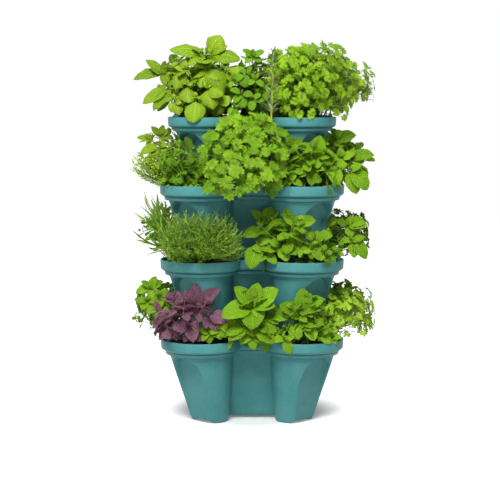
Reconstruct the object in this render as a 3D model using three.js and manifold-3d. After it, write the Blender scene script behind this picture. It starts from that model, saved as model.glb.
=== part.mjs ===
// A four-tier planting tower: four-lobed moulded pots standing in each other's mouths, filled with
// soil and planted with kitchen herbs. Millimetres, +Z up, origin on the ground under the middle.
// The front looks along -Y. Each lobe sits on a diagonal, and a flat web joins it to the next one.
import * as THREE from "three";
import { mergeVertices } from "three/addons/utils/BufferGeometryUtils.js";
import Module from "manifold-3d";

const wasm = await Module();
wasm.setup();

// The standard pot, measured over its lobes
const potHeight = 154;
const rimHalfWidth = 165;
const rimLobeRadius = 73.5;
const rimWebReach = 113;
const bodyTopHalfWidth = 149;
const bodyTopLobeRadius = 57.75;
const bodyTopWebReach = 96;
const baseHalfWidth = 109.5;
const baseLobeRadius = 34;
const baseWebReach = 57;
const wall = 3;
const floorThickness = 3;

// The collar round the mouth, from the top down
const rimBandHeight = 14.5;
const rimBandTaper = 0.8;
const collarSlopeHeight = 5.5;
const collarSlopeInset = 4.4;
const lowerBandHeight = 8.5;
const lowerBandStep = 2.3;
const lowerBandTaper = 1.5;

// The sunken facet with an arched top on each lobe, flush with the feet and deepest under the collar
const facetBaseDepth = 8.6;
const facetTopDepth = 20;
const archFrontHalf = 34.5;
const archSideHalf = 24;
const archSpringHeight = 88;
const archTopGap = 1.5;
const archCrownSquareness = 2.8;
const archCrownSegments = 3;

// The eight column feet, two to a lobe, under the stretches between facet and web
const footHeight = 5;
const footInset = 2;
const footDepth = 20;
const footStartAngle = 92;
const footSweepAngle = 84;
const footSegments = 3;

// The top pot is a smaller size of the same form
const topFormShare = 0.912;

// How far each upper pot's feet stand below the rim of the pot that it stands in
const secondNesting = 10;
const thirdNesting = 20;
const topNesting = 20.5;

// Floor fittings: the hole, the screen over it, and the ring that locates the post
const drainHoleRadius = 20;
const screenRadius = 29;
const screenThickness = 2.5;
const screenSlots = 6;
const slotInnerRadius = 7;
const slotLength = 10;
const slotWidth = 3;
const ringHeight = 6;
const ringThickness = 2.5;

// The hollow post that carries the next pot's floor
const postFootRadius = 36;
const postHeadRadius = 26;
const postWall = 3;
const postShoulderThickness = 3.5;
const spigotWall = 2.5;
const postNotches = 4;
const notchWidth = 16;
const notchHeight = 14;

// Running and resting clearances
const restGap = 0.3;
const ringClearance = 0.5;
const spigotClearance = 0.6;
const leafGap = 0.8;
const overrun = 4;

// Soil and roots
const topSoilDrop = 12;
const rootRadius = 15;
const leafLip = 2;

// Leaves of the kinds that the herbs carry
const broadLeafLength = 50;
const broadLeafWidth = 38;
const longLeafLength = 46;
const longLeafWidth = 25;
const roundLeafLength = 30;
const roundLeafWidth = 26;
const leafletLength = 28;
const leafletWidth = 30;
const needleLength = 26;
const needleWidth = 5;
const bladeLength = 60;
const bladeWidth = 6;
const leafThickness = 5;

// Facets of the round shapes
const lobeSegments = 9;
const roundSegments = 20;
const clumpSides = 12;
const heartSides = 6;

const pots = new THREE.Group();
const fittings = new THREE.Group();
const soils = new THREE.Group();
const plants = new THREE.Group();

// Materials
const plastic = { color: 0x4a9695, roughness: 0.48, metalness: 0 };
const screenPlastic = { color: 0x2e3836, roughness: 0.6, metalness: 0 };
const pottingSoil = { color: 0x2a1d14, roughness: 0.95, metalness: 0 };
const leafFinish = { roughness: 0.55, metalness: 0 };

function makeMesh(name, solid, finish) {
  const { vertProperties, triVerts, numProp } = solid.getMesh();
  if (numProp !== 3) throw new Error(name + " carries more than positions");
  const geometry = new THREE.BufferGeometry();
  geometry.setAttribute("position", new THREE.BufferAttribute(vertProperties, numProp));
  geometry.setIndex(new THREE.BufferAttribute(triVerts, 1));
  geometry.computeVertexNormals();
  const mesh = new THREE.Mesh(geometry, new THREE.MeshStandardMaterial(finish));
  mesh.name = name;
  return mesh;
}

// A three.js geometry with its shared corners merged, as a solid
function solidFrom(geometry) {
  const bare = geometry.clone();
  bare.deleteAttribute("normal");
  bare.deleteAttribute("uv");
  const merged = mergeVertices(bare);
  return new wasm.Manifold(
    new wasm.Mesh({
      numProp: 3,
      vertProperties: merged.getAttribute("position").array,
      triVerts: new Uint32Array(merged.index.array),
    }),
  );
}

// A skin over rings of points. outline is the flat shape of a ring, anticlockwise as seen from the
// last ring, and both ends are closed with it.
function skin(outline, rings) {
  const count = outline.length;
  const positions = rings.flat().flatMap((point) => point.toArray());
  const faces = [];
  for (let ring = 0; ring < rings.length - 1; ring++) {
    for (let i = 0; i < count; i++) {
      const a = ring * count + i;
      const b = ring * count + ((i + 1) % count);
      faces.push(a, b, b + count, a, b + count, a + count);
    }
  }
  const last = (rings.length - 1) * count;
  for (const [a, b, c] of THREE.ShapeUtils.triangulateShape(outline, [])) {
    faces.push(a, c, b, last + a, last + b, last + c);
  }
  const geometry = new THREE.BufferGeometry();
  geometry.setAttribute("position", new THREE.Float32BufferAttribute(positions, 3));
  geometry.setIndex(faces);
  return solidFrom(geometry);
}

// A body of revolution about +Z, from (radius, height) points that run up its outside
function turned(profile) {
  const points = profile.map(([radius, height]) => new THREE.Vector2(radius, height));
  const geometry = new THREE.LatheGeometry(points, roundSegments);
  geometry.rotateX(Math.PI / 2);
  const solid = solidFrom(geometry);
  if (solid.volume() < 0) throw new Error("a turned profile runs down its outside");
  return solid;
}

function box(width, depth, height, x, y, z) {
  const geometry = new THREE.BoxGeometry(width, depth, height);
  geometry.translate(x, y, z + height / 2);
  return solidFrom(geometry);
}

// A level is one height of the pot's form: where its lobes are centred, their radius, the webs' reach
function makeLevel(z, halfWidth, lobeRadius, webReach) {
  return { z, lobeCentre: halfWidth - lobeRadius, lobeRadius, webReach };
}

function drawnIn(level, inset, z = level.z) {
  return {
    z,
    lobeCentre: level.lobeCentre,
    lobeRadius: level.lobeRadius - inset,
    webReach: level.webReach - inset,
  };
}

function mix(a, b, share) {
  const blend = (key) => THREE.MathUtils.lerp(a[key], b[key], share);
  return {
    z: blend("z"),
    lobeCentre: blend("lobeCentre"),
    lobeRadius: blend("lobeRadius"),
    webReach: blend("webReach"),
  };
}

// The levels between two heights, with new ones worked out at both ends
function cutLevels(levels, low, high) {
  const at = (z) => {
    let i = levels.findIndex((level) => level.z >= z);
    if (i < 0) i = levels.length - 1;
    i = Math.max(i, 1);
    const [a, b] = [levels[i - 1], levels[i]];
    return mix(a, b, (z - a.z) / (b.z - a.z));
  };
  return [at(low), ...levels.filter((level) => level.z > low && level.z < high), at(high)];
}

// The cloverleaf: on each diagonal an arc of the lobe, between the two webs that it meets
function cloverOutline({ lobeCentre, lobeRadius, webReach }) {
  const aside = THREE.MathUtils.clamp((webReach - lobeCentre) / lobeRadius, -1, 1);
  const start = -Math.acos(aside);
  const end = Math.PI / 2 - start;
  const points = [];
  for (let quarter = 0; quarter < 4; quarter++) {
    const turn = (quarter * Math.PI) / 2;
    const centre = new THREE.Vector2(lobeCentre, lobeCentre).rotateAround(new THREE.Vector2(), turn);
    for (let i = 0; i <= lobeSegments; i++) {
      const angle = turn + THREE.MathUtils.lerp(start, end, i / lobeSegments);
      points.push(new THREE.Vector2(Math.cos(angle), Math.sin(angle)).multiplyScalar(lobeRadius).add(centre));
    }
  }
  return points;
}

function loft(levels) {
  const outlines = levels.map(cloverOutline);
  const rings = outlines.map((outline, i) => outline.map((p) => new THREE.Vector3(p.x, p.y, levels[i].z)));
  return skin(outlines.at(-1), rings);
}

// A pot form is the standard sizes, or all of them made smaller
const standardForm = {
  height: potHeight,
  rim: makeLevel(potHeight, rimHalfWidth, rimLobeRadius, rimWebReach),
  bodyTop: makeLevel(
    potHeight - rimBandHeight - collarSlopeHeight - lowerBandHeight,
    bodyTopHalfWidth,
    bodyTopLobeRadius,
    bodyTopWebReach,
  ),
  base: makeLevel(0, baseHalfWidth, baseLobeRadius, baseWebReach),
  rimBandHeight,
  rimBandTaper,
  collarSlopeHeight,
  collarSlopeInset,
  lowerBandStep,
  lowerBandTaper,
  facetBaseDepth,
  facetTopDepth,
  archFrontHalf,
  archSideHalf,
  archSpringHeight,
  archTopGap,
  footInset,
  footDepth,
};

function smaller(form, share) {
  const shrink = (value) => (typeof value === "number" ? value * share : smaller(value, share));
  return Object.fromEntries(Object.entries(form).map(([key, value]) => [key, shrink(value)]));
}

// The outside, from the feet up over the collar's two steps to the rim
function outerLevels({ base, bodyTop, rim, ...form }) {
  const bandFoot = rim.z - form.rimBandHeight;
  const slopeFoot = bandFoot - form.collarSlopeHeight;
  const slopeInset = form.rimBandTaper + form.collarSlopeInset;
  const stepInset = slopeInset + form.lowerBandStep;
  return [
    base,
    bodyTop,
    drawnIn(rim, stepInset + form.lowerBandTaper, bodyTop.z),
    drawnIn(rim, stepInset, slopeFoot),
    drawnIn(rim, slopeInset, slopeFoot),
    drawnIn(rim, form.rimBandTaper, bandFoot),
    rim,
  ];
}

// The inside, one wall in from the outside, from the floor up past the rim
function innerLevels({ base, bodyTop, rim, ...form }) {
  const floorTop = footHeight + floorThickness;
  const bandFoot = rim.z - form.rimBandHeight;
  const slopeFoot = bandFoot - form.collarSlopeHeight;
  const slopeInset = form.rimBandTaper + form.collarSlopeInset;
  const stepInset = slopeInset + form.lowerBandStep;
  return [
    drawnIn(mix(base, bodyTop, floorTop / bodyTop.z), wall),
    drawnIn(bodyTop, wall, bodyTop.z + wall / 2),
    drawnIn(rim, stepInset + wall, slopeFoot - wall / 2),
    drawnIn(rim, form.rimBandTaper + wall, bandFoot + wall / 2),
    drawnIn(rim, wall, rim.z + overrun),
  ];
}

// The space that a pot takes up, with a gap all round it and under its steps
function potKeepOut(form, gap) {
  const levels = outerLevels(form);
  const top = levels.at(-1);
  return loft(levels.map((level) => drawnIn(level, -gap, level === top ? level.z + gap : level.z - gap)));
}

// The tool that sinks one facet: its flat face slopes from the facet's foot to its top, and grow
// thickens it all round, which keeps the wall behind it whole
function facetTool({ base, bodyTop, ...form }, sideX, sideY, grow) {
  const reach = (level) => level.lobeCentre * Math.SQRT2 + level.lobeRadius;
  const footReach = reach(base) - form.facetBaseDepth - grow;
  const topReach = reach(bodyTop) - form.facetTopDepth - grow;
  const reachAt = (z) => THREE.MathUtils.lerp(footReach, topReach, z / bodyTop.z);
  const top = bodyTop.z - form.archTopGap + grow;
  const crown = (half) => {
    return Array.from({ length: archCrownSegments }, (_, i) => {
      const angle = (i / archCrownSegments) * (Math.PI / 2);
      const power = 2 / archCrownSquareness;
      const across = (half + grow) * Math.cos(angle) ** power;
      const up = form.archSpringHeight + (top - form.archSpringHeight) * Math.sin(angle) ** power;
      return new THREE.Vector2(across, up);
    });
  };
  const mirrored = ({ x, y }) => new THREE.Vector2(-x, y);
  let outline = [
    new THREE.Vector2(-form.archSideHalf - grow, -overrun),
    new THREE.Vector2(form.archFrontHalf + grow, -overrun),
    ...crown(form.archFrontHalf),
    new THREE.Vector2(0, top),
    ...crown(form.archSideHalf).reverse().map(mirrored),
  ];
  const out = new THREE.Vector3(sideX, sideY, 0).normalize();
  const across = new THREE.Vector3(-sideX, sideY, 0).normalize();
  const up = new THREE.Vector3(0, 0, 1);
  if (across.clone().cross(up).dot(out) < 0) {
    outline = outline.map(mirrored).reverse();
    across.negate();
  }
  const ring = (beyond) =>
    outline.map(({ x, y }) =>
      new THREE.Vector3(0, 0, y).addScaledVector(across, x).addScaledVector(out, reachAt(y) + beyond),
    );
  return skin(outline, [ring(0), ring(reach(bodyTop))]);
}

// One foot: a sector of the lobe's base ring, drawn in where it meets the ground
function footSolid({ base, ...form }, quarter, startAngle) {
  const turn = quarter * (Math.PI / 2);
  const centre = new THREE.Vector2(base.lobeCentre, base.lobeCentre).rotateAround(new THREE.Vector2(), turn);
  const outlineAt = (inset) => {
    const outer = base.lobeRadius - inset;
    const inner = base.lobeRadius - form.footDepth + inset;
    const arc = (radius) =>
      Array.from({ length: footSegments + 1 }, (_, i) => {
        const angle = turn + THREE.MathUtils.degToRad(startAngle + (footSweepAngle * i) / footSegments);
        return new THREE.Vector2(Math.cos(angle), Math.sin(angle)).multiplyScalar(radius).add(centre);
      });
    return [...arc(outer), ...arc(inner).reverse()];
  };
  const ring = (inset, z) => outlineAt(inset).map(({ x, y }) => new THREE.Vector3(x, y, z));
  const rings = [
    ring(form.footInset, 0),
    ring(0, form.footInset),
    ring(0, footHeight + floorThickness / 2),
  ];
  return skin(outlineAt(0), rings);
}

function potSolid(form) {
  let shell = loft(outerLevels(form));
  let hollow = loft(innerLevels(form));
  for (const sideX of [-1, 1]) {
    for (const sideY of [-1, 1]) {
      shell = shell.subtract(facetTool(form, sideX, sideY, 0));
      hollow = hollow.subtract(facetTool(form, sideX, sideY, wall));
    }
  }
  const slabWidth = 2 * (rimHalfWidth + overrun);
  shell = shell.subtract(box(slabWidth, slabWidth, footHeight + overrun, 0, 0, -overrun));
  shell = shell.subtract(hollow);
  for (let quarter = 0; quarter < 4; quarter++) {
    shell = shell.add(footSolid(form, quarter, footStartAngle));
    shell = shell.add(footSolid(form, quarter, 90 - footStartAngle - footSweepAngle));
  }
  const floorTop = footHeight + floorThickness;
  const ringRadius = postFootRadius + ringClearance;
  shell = shell.add(
    turned([
      [ringRadius, floorTop - floorThickness / 2],
      [ringRadius + ringThickness, floorTop - floorThickness / 2],
      [ringRadius + ringThickness, floorTop + ringHeight],
      [ringRadius, floorTop + ringHeight],
      [ringRadius, floorTop - floorThickness / 2],
    ]),
  );
  return shell.subtract(
    turned([
      [0, 0],
      [drainHoleRadius, 0],
      [drainHoleRadius, floorTop + overrun],
      [0, floorTop + overrun],
    ]),
  );
}

function screenSolid() {
  const bottom = footHeight + floorThickness + restGap;
  let screen = turned([
    [0, bottom],
    [screenRadius, bottom],
    [screenRadius, bottom + screenThickness],
    [0, bottom + screenThickness],
  ]);
  for (let slot = 0; slot < screenSlots; slot++) {
    const cut = box(
      slotLength,
      slotWidth,
      screenThickness + 2 * overrun,
      slotInnerRadius + slotLength / 2,
      0,
      bottom - overrun,
    );
    screen = screen.subtract(cut.rotate([0, 0, (360 * slot) / screenSlots]));
  }
  return screen;
}

// Heights inside a pot where the post stands and where its shoulder meets the next pot's floor
function postHeights(rise) {
  const foot = footHeight + floorThickness + restGap;
  const shoulder = rise + footHeight - restGap;
  return { foot, shoulder, spigotTop: shoulder + floorThickness };
}

// The outside of the post, which the soil keeps clear of
function postOutside(rise, gap) {
  const { foot, shoulder } = postHeights(rise);
  return [
    [postFootRadius + gap, foot],
    [postFootRadius + gap, foot + ringHeight],
    [postHeadRadius + gap, shoulder],
  ];
}

function postSolid(rise) {
  const { foot, shoulder, spigotTop } = postHeights(rise);
  const spigotRadius = drainHoleRadius - spigotClearance;
  let post = turned([
    [postFootRadius - postWall, foot],
    ...postOutside(rise, 0),
    [spigotRadius, shoulder],
    [spigotRadius, spigotTop],
    [spigotRadius - spigotWall, spigotTop],
    [spigotRadius - spigotWall, shoulder - postShoulderThickness],
    [postHeadRadius - postWall, shoulder - postShoulderThickness],
    [postFootRadius - postWall, foot + ringHeight],
    [postFootRadius - postWall, foot],
  ]);
  for (let notch = 0; notch < postNotches; notch++) {
    const cut = box(postFootRadius, notchWidth, notchHeight + overrun, postFootRadius, 0, foot - overrun);
    post = post.subtract(cut.rotate([0, 0, (360 * notch) / postNotches]));
  }
  return post;
}

// The soil fills the pot up to its surface, round the facets, the ring and what stands on the floor
function soilSolid(form, surface, rise) {
  const floorTop = footHeight + floorThickness;
  const inside = innerLevels(form).map((level) => drawnIn(level, restGap));
  let soil = loft(cutLevels(inside, floorTop + restGap, surface));
  for (const sideX of [-1, 1]) {
    for (const sideY of [-1, 1]) soil = soil.subtract(facetTool(form, sideX, sideY, wall + restGap));
  }
  const ringOuter = postFootRadius + ringClearance + ringThickness + restGap;
  const ringTop = floorTop + ringHeight + restGap;
  soil = soil.subtract(
    turned([
      [0, 0],
      [ringOuter, 0],
      [ringOuter, ringTop],
      [0, ringTop],
    ]),
  );
  if (!rise) return soil;
  const outside = postOutside(rise, restGap);
  return soil.subtract(
    turned([
      [0, 0],
      [postFootRadius + restGap, 0],
      ...outside.slice(1),
      [postHeadRadius + restGap, rise + form.height],
      [0, rise + form.height],
    ]),
  );
}

// The herbs of each tier, a clump to a row: the herb, its kind of leaf, then the places of its root and
// its crown and its spread as shares of the pot's half width, and last its height over the rim as a share
// of the standard pot's height
const herbShares = {
  bottom: [
    ["purple_basil", "long", [-0.62, -0.78], [-0.67, -1.0], [0.4, 0.31], 0.7],
    ["basil", "long", [0, -0.54], [0, -0.95], [0.34, 0.34], 0.71],
    ["spearmint", "long", [0.56, -0.77], [0.56, -0.97], [0.29, 0.3], 0.62],
    ["mint", "round", [-0.78, -0.38], [-1.06, -0.34], [0.28, 0.38], 0.72],
    ["coriander", "leaflet", [0.78, -0.4], [1.04, -0.36], [0.3, 0.4], 0.55],
    ["chervil", "leaflet", [-0.72, 0.62], [-0.94, 0.7], [0.4, 0.5], 0.6],
    ["green_basil", "broad", [0, 0.54], [0, 0.96], [0.4, 0.36], 0.66],
    ["lemon_balm", "long", [0.72, 0.62], [0.94, 0.7], [0.4, 0.5], 0.62],
  ],
  second: [
    ["rosemary", "needle", [-0.6, -0.74], [-0.52, -0.98], [0.45, 0.32], 0.6],
    ["mint", "long", [0.4, -0.72], [0.28, -0.98], [0.42, 0.32], 0.62],
    ["oregano", "round", [0.74, -0.7], [0.8, -0.92], [0.2, 0.26], 0.36],
    ["chives", "blade", [-0.74, -0.38], [-1.08, -0.34], [0.26, 0.36], 0.63],
    ["balm", "long", [0.74, -0.38], [1.05, -0.3], [0.28, 0.38], 0.44],
    ["marjoram", "round", [-0.72, 0.62], [-0.92, 0.68], [0.42, 0.5], 0.55],
    ["thyme", "needle", [0, 0.51], [0, 0.96], [0.4, 0.36], 0.55],
    ["parsley", "leaflet", [0.72, 0.62], [0.92, 0.68], [0.42, 0.5], 0.58],
  ],
  third: [
    ["parsley", "leaflet", [-0.02, -0.51], [-0.1, -1.0], [0.38, 0.33], 0.78],
    ["oregano", "round", [-0.64, -0.76], [-0.76, -0.96], [0.34, 0.31], 0.6],
    ["sage", "long", [0.58, -0.76], [0.58, -0.96], [0.33, 0.31], 0.58],
    ["thyme", "needle", [-0.76, -0.42], [-1.12, -0.44], [0.24, 0.24], 0.38],
    ["mint", "long", [0.76, -0.4], [1.06, -0.32], [0.29, 0.4], 0.54],
    ["marjoram", "long", [-0.76, 0.4], [-1.02, 0.24], [0.3, 0.42], 0.66],
    ["chives", "blade", [-0.52, 0.79], [-0.64, 0.98], [0.34, 0.32], 0.6],
    ["basil", "broad", [0, 0.51], [0.04, 0.98], [0.36, 0.34], 0.6],
    ["balm", "long", [0.72, 0.62], [0.9, 0.7], [0.42, 0.5], 0.6],
  ],
  top: [
    ["basil", "broad", [-0.56, -0.56], [-0.56, -0.62], [0.44, 0.44], 0.93],
    ["rosemary", "sprig", [0.32, -0.7], [0.25, -0.86], [0.13, 0.13], 0.82],
    ["parsley", "leaflet", [0.56, -0.56], [0.7, -0.56], [0.48, 0.46], 0.8],
    ["oregano", "round", [-0.02, -0.34], [-0.03, -0.5], [0.27, 0.42], 0.79],
    ["mint", "long", [-0.72, -0.42], [-1.17, -0.26], [0.28, 0.34], 0.67],
    ["coriander", "leaflet", [0.72, -0.38], [1.2, -0.1], [0.26, 0.36], 0.58],
    ["balm", "long", [-0.56, 0.56], [-0.62, 0.62], [0.56, 0.56], 0.78],
    ["chervil", "leaflet", [0.56, 0.56], [0.6, 0.62], [0.56, 0.56], 0.76],
  ],
};

// The colour of each herb's leaves
const herbColors = {
  purple_basil: 0x7a4462,
  basil: 0x8cbb3a,
  spearmint: 0x7fae33,
  mint: 0x7db82f,
  coriander: 0x78b52c,
  chervil: 0x79ae35,
  green_basil: 0x86b53a,
  lemon_balm: 0x80b13a,
  rosemary: 0x6c9b34,
  oregano: 0x7fb338,
  chives: 0x5f9330,
  balm: 0x86bd3a,
  marjoram: 0x74a83a,
  thyme: 0x6a9c38,
  parsley: 0x7ebc2c,
  sage: 0x7cae36,
};

// The rings of a clump over the rim: height, way from root to crown, and width, each a share
const clumpRingShares = [
  [0.06, 0.9, 0.86],
  [0.45, 1, 1],
  [0.78, 1, 0.68],
  [1, 1, 0.22],
];

// How far a clump's room reaches past its leaf tips, and how far round, from straight out at 1 to
// straight in at -1, leaves stand in its rows
const roomShare = 1.05;
const leafSideShare = -0.3;

// How deep in the heart leaves start, and the heart's width below which its neck grows thinner too
const leafFootShare = 0.85;
const neckShare = 0.5;

// Heights of the rows of leaves over the rim, and the slope of the clump's side at the top
const leafRowShares = [0.1, 0.38, 0.68, 1];
const clumpTopSlope = 80;

// How far leaves roll about their midribs, to the left and right by turns
const leafRoll = 42;

// Corners of a leaf after its foot: the way along its blade, and the width to either side of the midrib
const ovalLeafShares = [
  [0.26, -0.42],
  [0.62, -0.5],
  [1, 0],
  [0.62, 0.5],
  [0.26, 0.42],
];
const pointedLeafShares = [
  [0.5, -0.5],
  [1, 0],
  [0.5, 0.5],
];

// How each kind of herb grows: its leaves, how many stand in each row from the rim up, how much higher
// than its tip a leaf starts, and the width and height of the clump's closed heart of stems and leaves
const leafForms = {
  broad: {
    length: broadLeafLength,
    width: broadLeafWidth,
    cornerShares: ovalLeafShares,
    rows: [5, 6, 4, 2],
    droopShare: 0.4,
    heartShare: 0.62,
    heartRiseShare: 0.68,
  },
  long: {
    length: longLeafLength,
    width: longLeafWidth,
    cornerShares: ovalLeafShares,
    rows: [5, 6, 4, 2],
    droopShare: 0.34,
    heartShare: 0.6,
    heartRiseShare: 0.68,
  },
  round: {
    length: roundLeafLength,
    width: roundLeafWidth,
    cornerShares: pointedLeafShares,
    rows: [5, 6, 5, 3],
    droopShare: 0.28,
    heartShare: 0.68,
    heartRiseShare: 0.74,
  },
  leaflet: {
    length: leafletLength,
    width: leafletWidth,
    cornerShares: pointedLeafShares,
    rows: [5, 7, 5, 3],
    droopShare: 0.3,
    heartShare: 0.76,
    heartRiseShare: 0.82,
  },
  needle: {
    length: needleLength,
    width: needleWidth,
    cornerShares: pointedLeafShares,
    rows: [6, 7, 6, 4],
    droopShare: -0.1,
    heartShare: 0.8,
    heartRiseShare: 0.84,
  },
  sprig: {
    length: needleLength,
    width: needleWidth,
    cornerShares: pointedLeafShares,
    rows: [6, 6, 6, 2],
    droopShare: -0.1,
    heartShare: 0.25,
    heartRiseShare: 0.9,
  },
  blade: {
    length: bladeLength,
    width: bladeWidth,
    cornerShares: pointedLeafShares,
    rows: [5, 6, 5, 3],
    droopShare: -0.1,
    heartShare: 0.5,
    heartRiseShare: 0.5,
  },
};

// One leaf from its foot to its tip: its corners lie in a plane that faces outwards, rolled about the
// midrib, with a ridge on each side. A leaf longer than its blade starts with a tapering stalk.
function leafSolid(foot, tip, outwards, roll, { length, width, cornerShares }) {
  const way = tip.clone().sub(foot).normalize();
  const up = outwards.clone().addScaledVector(way, -outwards.dot(way)).normalize();
  up.applyAxisAngle(way, roll);
  const side = new THREE.Vector3().crossVectors(up, way);
  const blade = Math.min(length, tip.distanceTo(foot));
  const at = (along, across, rise) =>
    tip
      .clone()
      .addScaledVector(way, (along - 1) * blade)
      .addScaledVector(side, across * width)
      .addScaledVector(up, rise);
  const [ridgeShare] = cornerShares[0];
  const corners = [foot, ...cornerShares.map(([along, across]) => at(along, across, 0))];
  const points = [...corners, at(ridgeShare, 0, leafThickness / 2), at(ridgeShare, 0, -leafThickness / 2)];
  const count = corners.length;
  const faces = corners.flatMap((_, i) => {
    const next = (i + 1) % count;
    return [i, next, count, next, i, count + 1];
  });
  const geometry = new THREE.BufferGeometry();
  geometry.setAttribute("position", new THREE.Float32BufferAttribute(points.flatMap((p) => p.toArray()), 3));
  geometry.setIndex(faces);
  return solidFrom(geometry);
}

// Where a clump grows, in millimetres from the middle of its pot's feet
function clumpSizes([rootShares, crownShares, spreadShares, topShare], { form, soilTop }) {
  const halfWidth = form.rim.lobeCentre + form.rim.lobeRadius;
  const [root, crown, spread] = [rootShares, crownShares, spreadShares].map((shares) =>
    new THREE.Vector2(...shares).multiplyScalar(halfWidth),
  );
  const lip = form.height + leafLip;
  return { root, crown, spread, soilTop, lip, leafHeight: topShare * potHeight - leafLip };
}

// The width of a clump's dome at a rise, as a share of its spread
function domeWidth(rise) {
  const above = clumpRingShares.findIndex(([height]) => height >= rise);
  const [low, high] = [clumpRingShares[Math.max(above - 1, 0)], clumpRingShares[Math.max(above, 1)]];
  return THREE.MathUtils.mapLinear(rise, low[0], high[0], low[2], high[2]);
}

// A clump's closed form, a neck of stems under a dome. The shares make the dome smaller, for the heart
// of the clump, and grow thickens all of it, for cutting its neighbours clear of it.
function domeSolid({ root, crown, spread, soilTop, lip, leafHeight }, share, riseShare, grow, sides) {
  const neck = new THREE.Vector2(rootRadius, rootRadius).multiplyScalar(Math.min(1, share / neckShare));
  const stations = [
    { z: soilTop + restGap - grow, centre: root, reach: neck },
    { z: lip - grow, centre: root, reach: neck },
    ...clumpRingShares.map(([rise, way, width]) => ({
      z: lip + rise * riseShare * leafHeight + grow * Math.sign(rise - clumpRingShares[0][0]),
      centre: root.clone().lerp(crown, way),
      reach: spread.clone().multiplyScalar(width * share),
    })),
  ];
  const outlines = stations.map(({ centre, reach }) =>
    Array.from({ length: sides }, (_, i) => {
      const angle = (i / sides) * 2 * Math.PI;
      const point = new THREE.Vector2((reach.x + grow) * Math.cos(angle), (reach.y + grow) * Math.sin(angle));
      return point.add(centre);
    }),
  );
  const rings = outlines.map((outline, i) => outline.map((p) => new THREE.Vector3(p.x, p.y, stations[i].z)));
  return skin(outlines.at(-1), rings);
}

// The leaves of a clump, from inside its heart to its outer form. The second row's first leaf points away
// from the tower, the rows are turned half a step from each other, and the side towards the tower has none.
function leavesOf({ crown, spread, lip, leafHeight }, leafForm) {
  const outward = crown.angle();
  const domePoint = (rise, flat, share, riseShare) =>
    new THREE.Vector3(
      crown.x + spread.x * domeWidth(rise) * share * flat.x,
      crown.y + spread.y * domeWidth(rise) * share * flat.y,
      lip + rise * riseShare * leafHeight,
    );
  return leafForm.rows.flatMap((count, row) => {
    const rise = leafRowShares[row];
    const footRise = THREE.MathUtils.clamp(rise + leafForm.droopShare, 0, leafRowShares.at(-1));
    const slope = THREE.MathUtils.degToRad(clumpTopSlope * rise);
    const turns = Array.from({ length: count }, (_, i) => ((i + (row % 2 ? 0 : 0.5)) / count) * 2 * Math.PI);
    const standing = turns.filter((turn) => Math.cos(turn) > leafSideShare);
    return standing.map((turn, i) => {
      const roll = THREE.MathUtils.degToRad(leafRoll) * (-1) ** (i + row);
      const flat = new THREE.Vector3(Math.cos(outward + turn), Math.sin(outward + turn), 0);
      const outwards = flat.clone().multiplyScalar(Math.cos(slope)).setZ(Math.sin(slope));
      const footShare = leafForm.heartShare * leafFootShare;
      const foot = domePoint(footRise, flat, footShare, leafForm.heartRiseShare * leafFootShare);
      return leafSolid(foot, domePoint(rise, flat, 1, 1), outwards, roll, leafForm);
    });
  });
}

// A clump of herbs: a closed heart with leaves all round it, none of which leaves the clump's form
function clumpSolid(sizes, leafForm) {
  const heart = domeSolid(sizes, leafForm.heartShare, leafForm.heartRiseShare, 0, heartSides);
  const leaves = leavesOf(sizes, leafForm);
  const room = domeSolid(sizes, roomShare, roomShare, 0, clumpSides);
  return wasm.Manifold.union([heart, ...leaves]).intersect(room);
}

// The largest body of a solid, without the leaf tips that a cut has parted from it
function mainBody(solid) {
  return solid.decompose().reduce((largest, body) => (body.volume() > largest.volume() ? body : largest));
}

// The herbs of one tier, each cut clear of the pot that stands among them and of those before it
function plantTier(tier, potAbove) {
  const taken = [];
  if (potAbove) {
    taken.push(potKeepOut(potAbove.form, leafGap).translate([0, 0, tier.nextRise]));
  }
  for (const [herb, leaf, ...shares] of herbShares[tier.name]) {
    const sizes = clumpSizes(shares, tier);
    let clump = clumpSolid(sizes, leafForms[leaf]);
    for (const other of taken) clump = clump.subtract(other);
    taken.push(domeSolid(sizes, roomShare, roomShare, leafGap, clumpSides));
    const finish = { color: herbColors[herb], ...leafFinish };
    const mesh = makeMesh(tier.name + "_" + herb, mainBody(clump), finish);
    mesh.position.z = tier.z;
    plants.add(mesh);
  }
}

// The tiers, from the ground up. Each rise is from a pot's feet to the feet of the pot in its mouth.
const topForm = smaller(standardForm, topFormShare);
const secondRise = potHeight - secondNesting;
const thirdRise = potHeight - thirdNesting;
const topRise = potHeight - topNesting;
const tiers = [
  { name: "bottom", form: standardForm, z: 0, nextRise: secondRise },
  { name: "second", form: standardForm, z: secondRise, nextRise: thirdRise },
  { name: "third", form: standardForm, z: secondRise + thirdRise, nextRise: topRise },
  { name: "top", form: topForm, z: secondRise + thirdRise + topRise, nextRise: 0 },
];

for (const tier of tiers) {
  tier.soilTop = tier.nextRise ? tier.nextRise - restGap : tier.form.height - topSoilDrop;
  const place = (group, mesh) => {
    mesh.position.z = tier.z;
    group.add(mesh);
  };
  place(pots, makeMesh(tier.name + "_pot", potSolid(tier.form), plastic));
  place(fittings, makeMesh(tier.name + "_drain_screen", screenSolid(), screenPlastic));
  place(soils, makeMesh(tier.name + "_soil", soilSolid(tier.form, tier.soilTop, tier.nextRise), pottingSoil));
  if (tier.nextRise) {
    place(fittings, makeMesh(tier.name + "_support_post", postSolid(tier.nextRise), screenPlastic));
  }
}
tiers.forEach((tier, i) => plantTier(tier, tiers[i + 1]));

const planterTower = new THREE.Group();
planterTower.add(pots, fittings, soils, plants);
export default planterTower;
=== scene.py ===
# %% [markdown]
# # Dressing a four-tier planting tower
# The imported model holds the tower's real sizes and moving tiers. This notebook gives it its looks:
# moulded teal pots, crumbly soil and eight or nine clumps of kitchen herbs on every tier. Shapes are worked
# out as whole numpy arrays in millimetres, and turned to metres only when a mesh is made.

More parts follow.
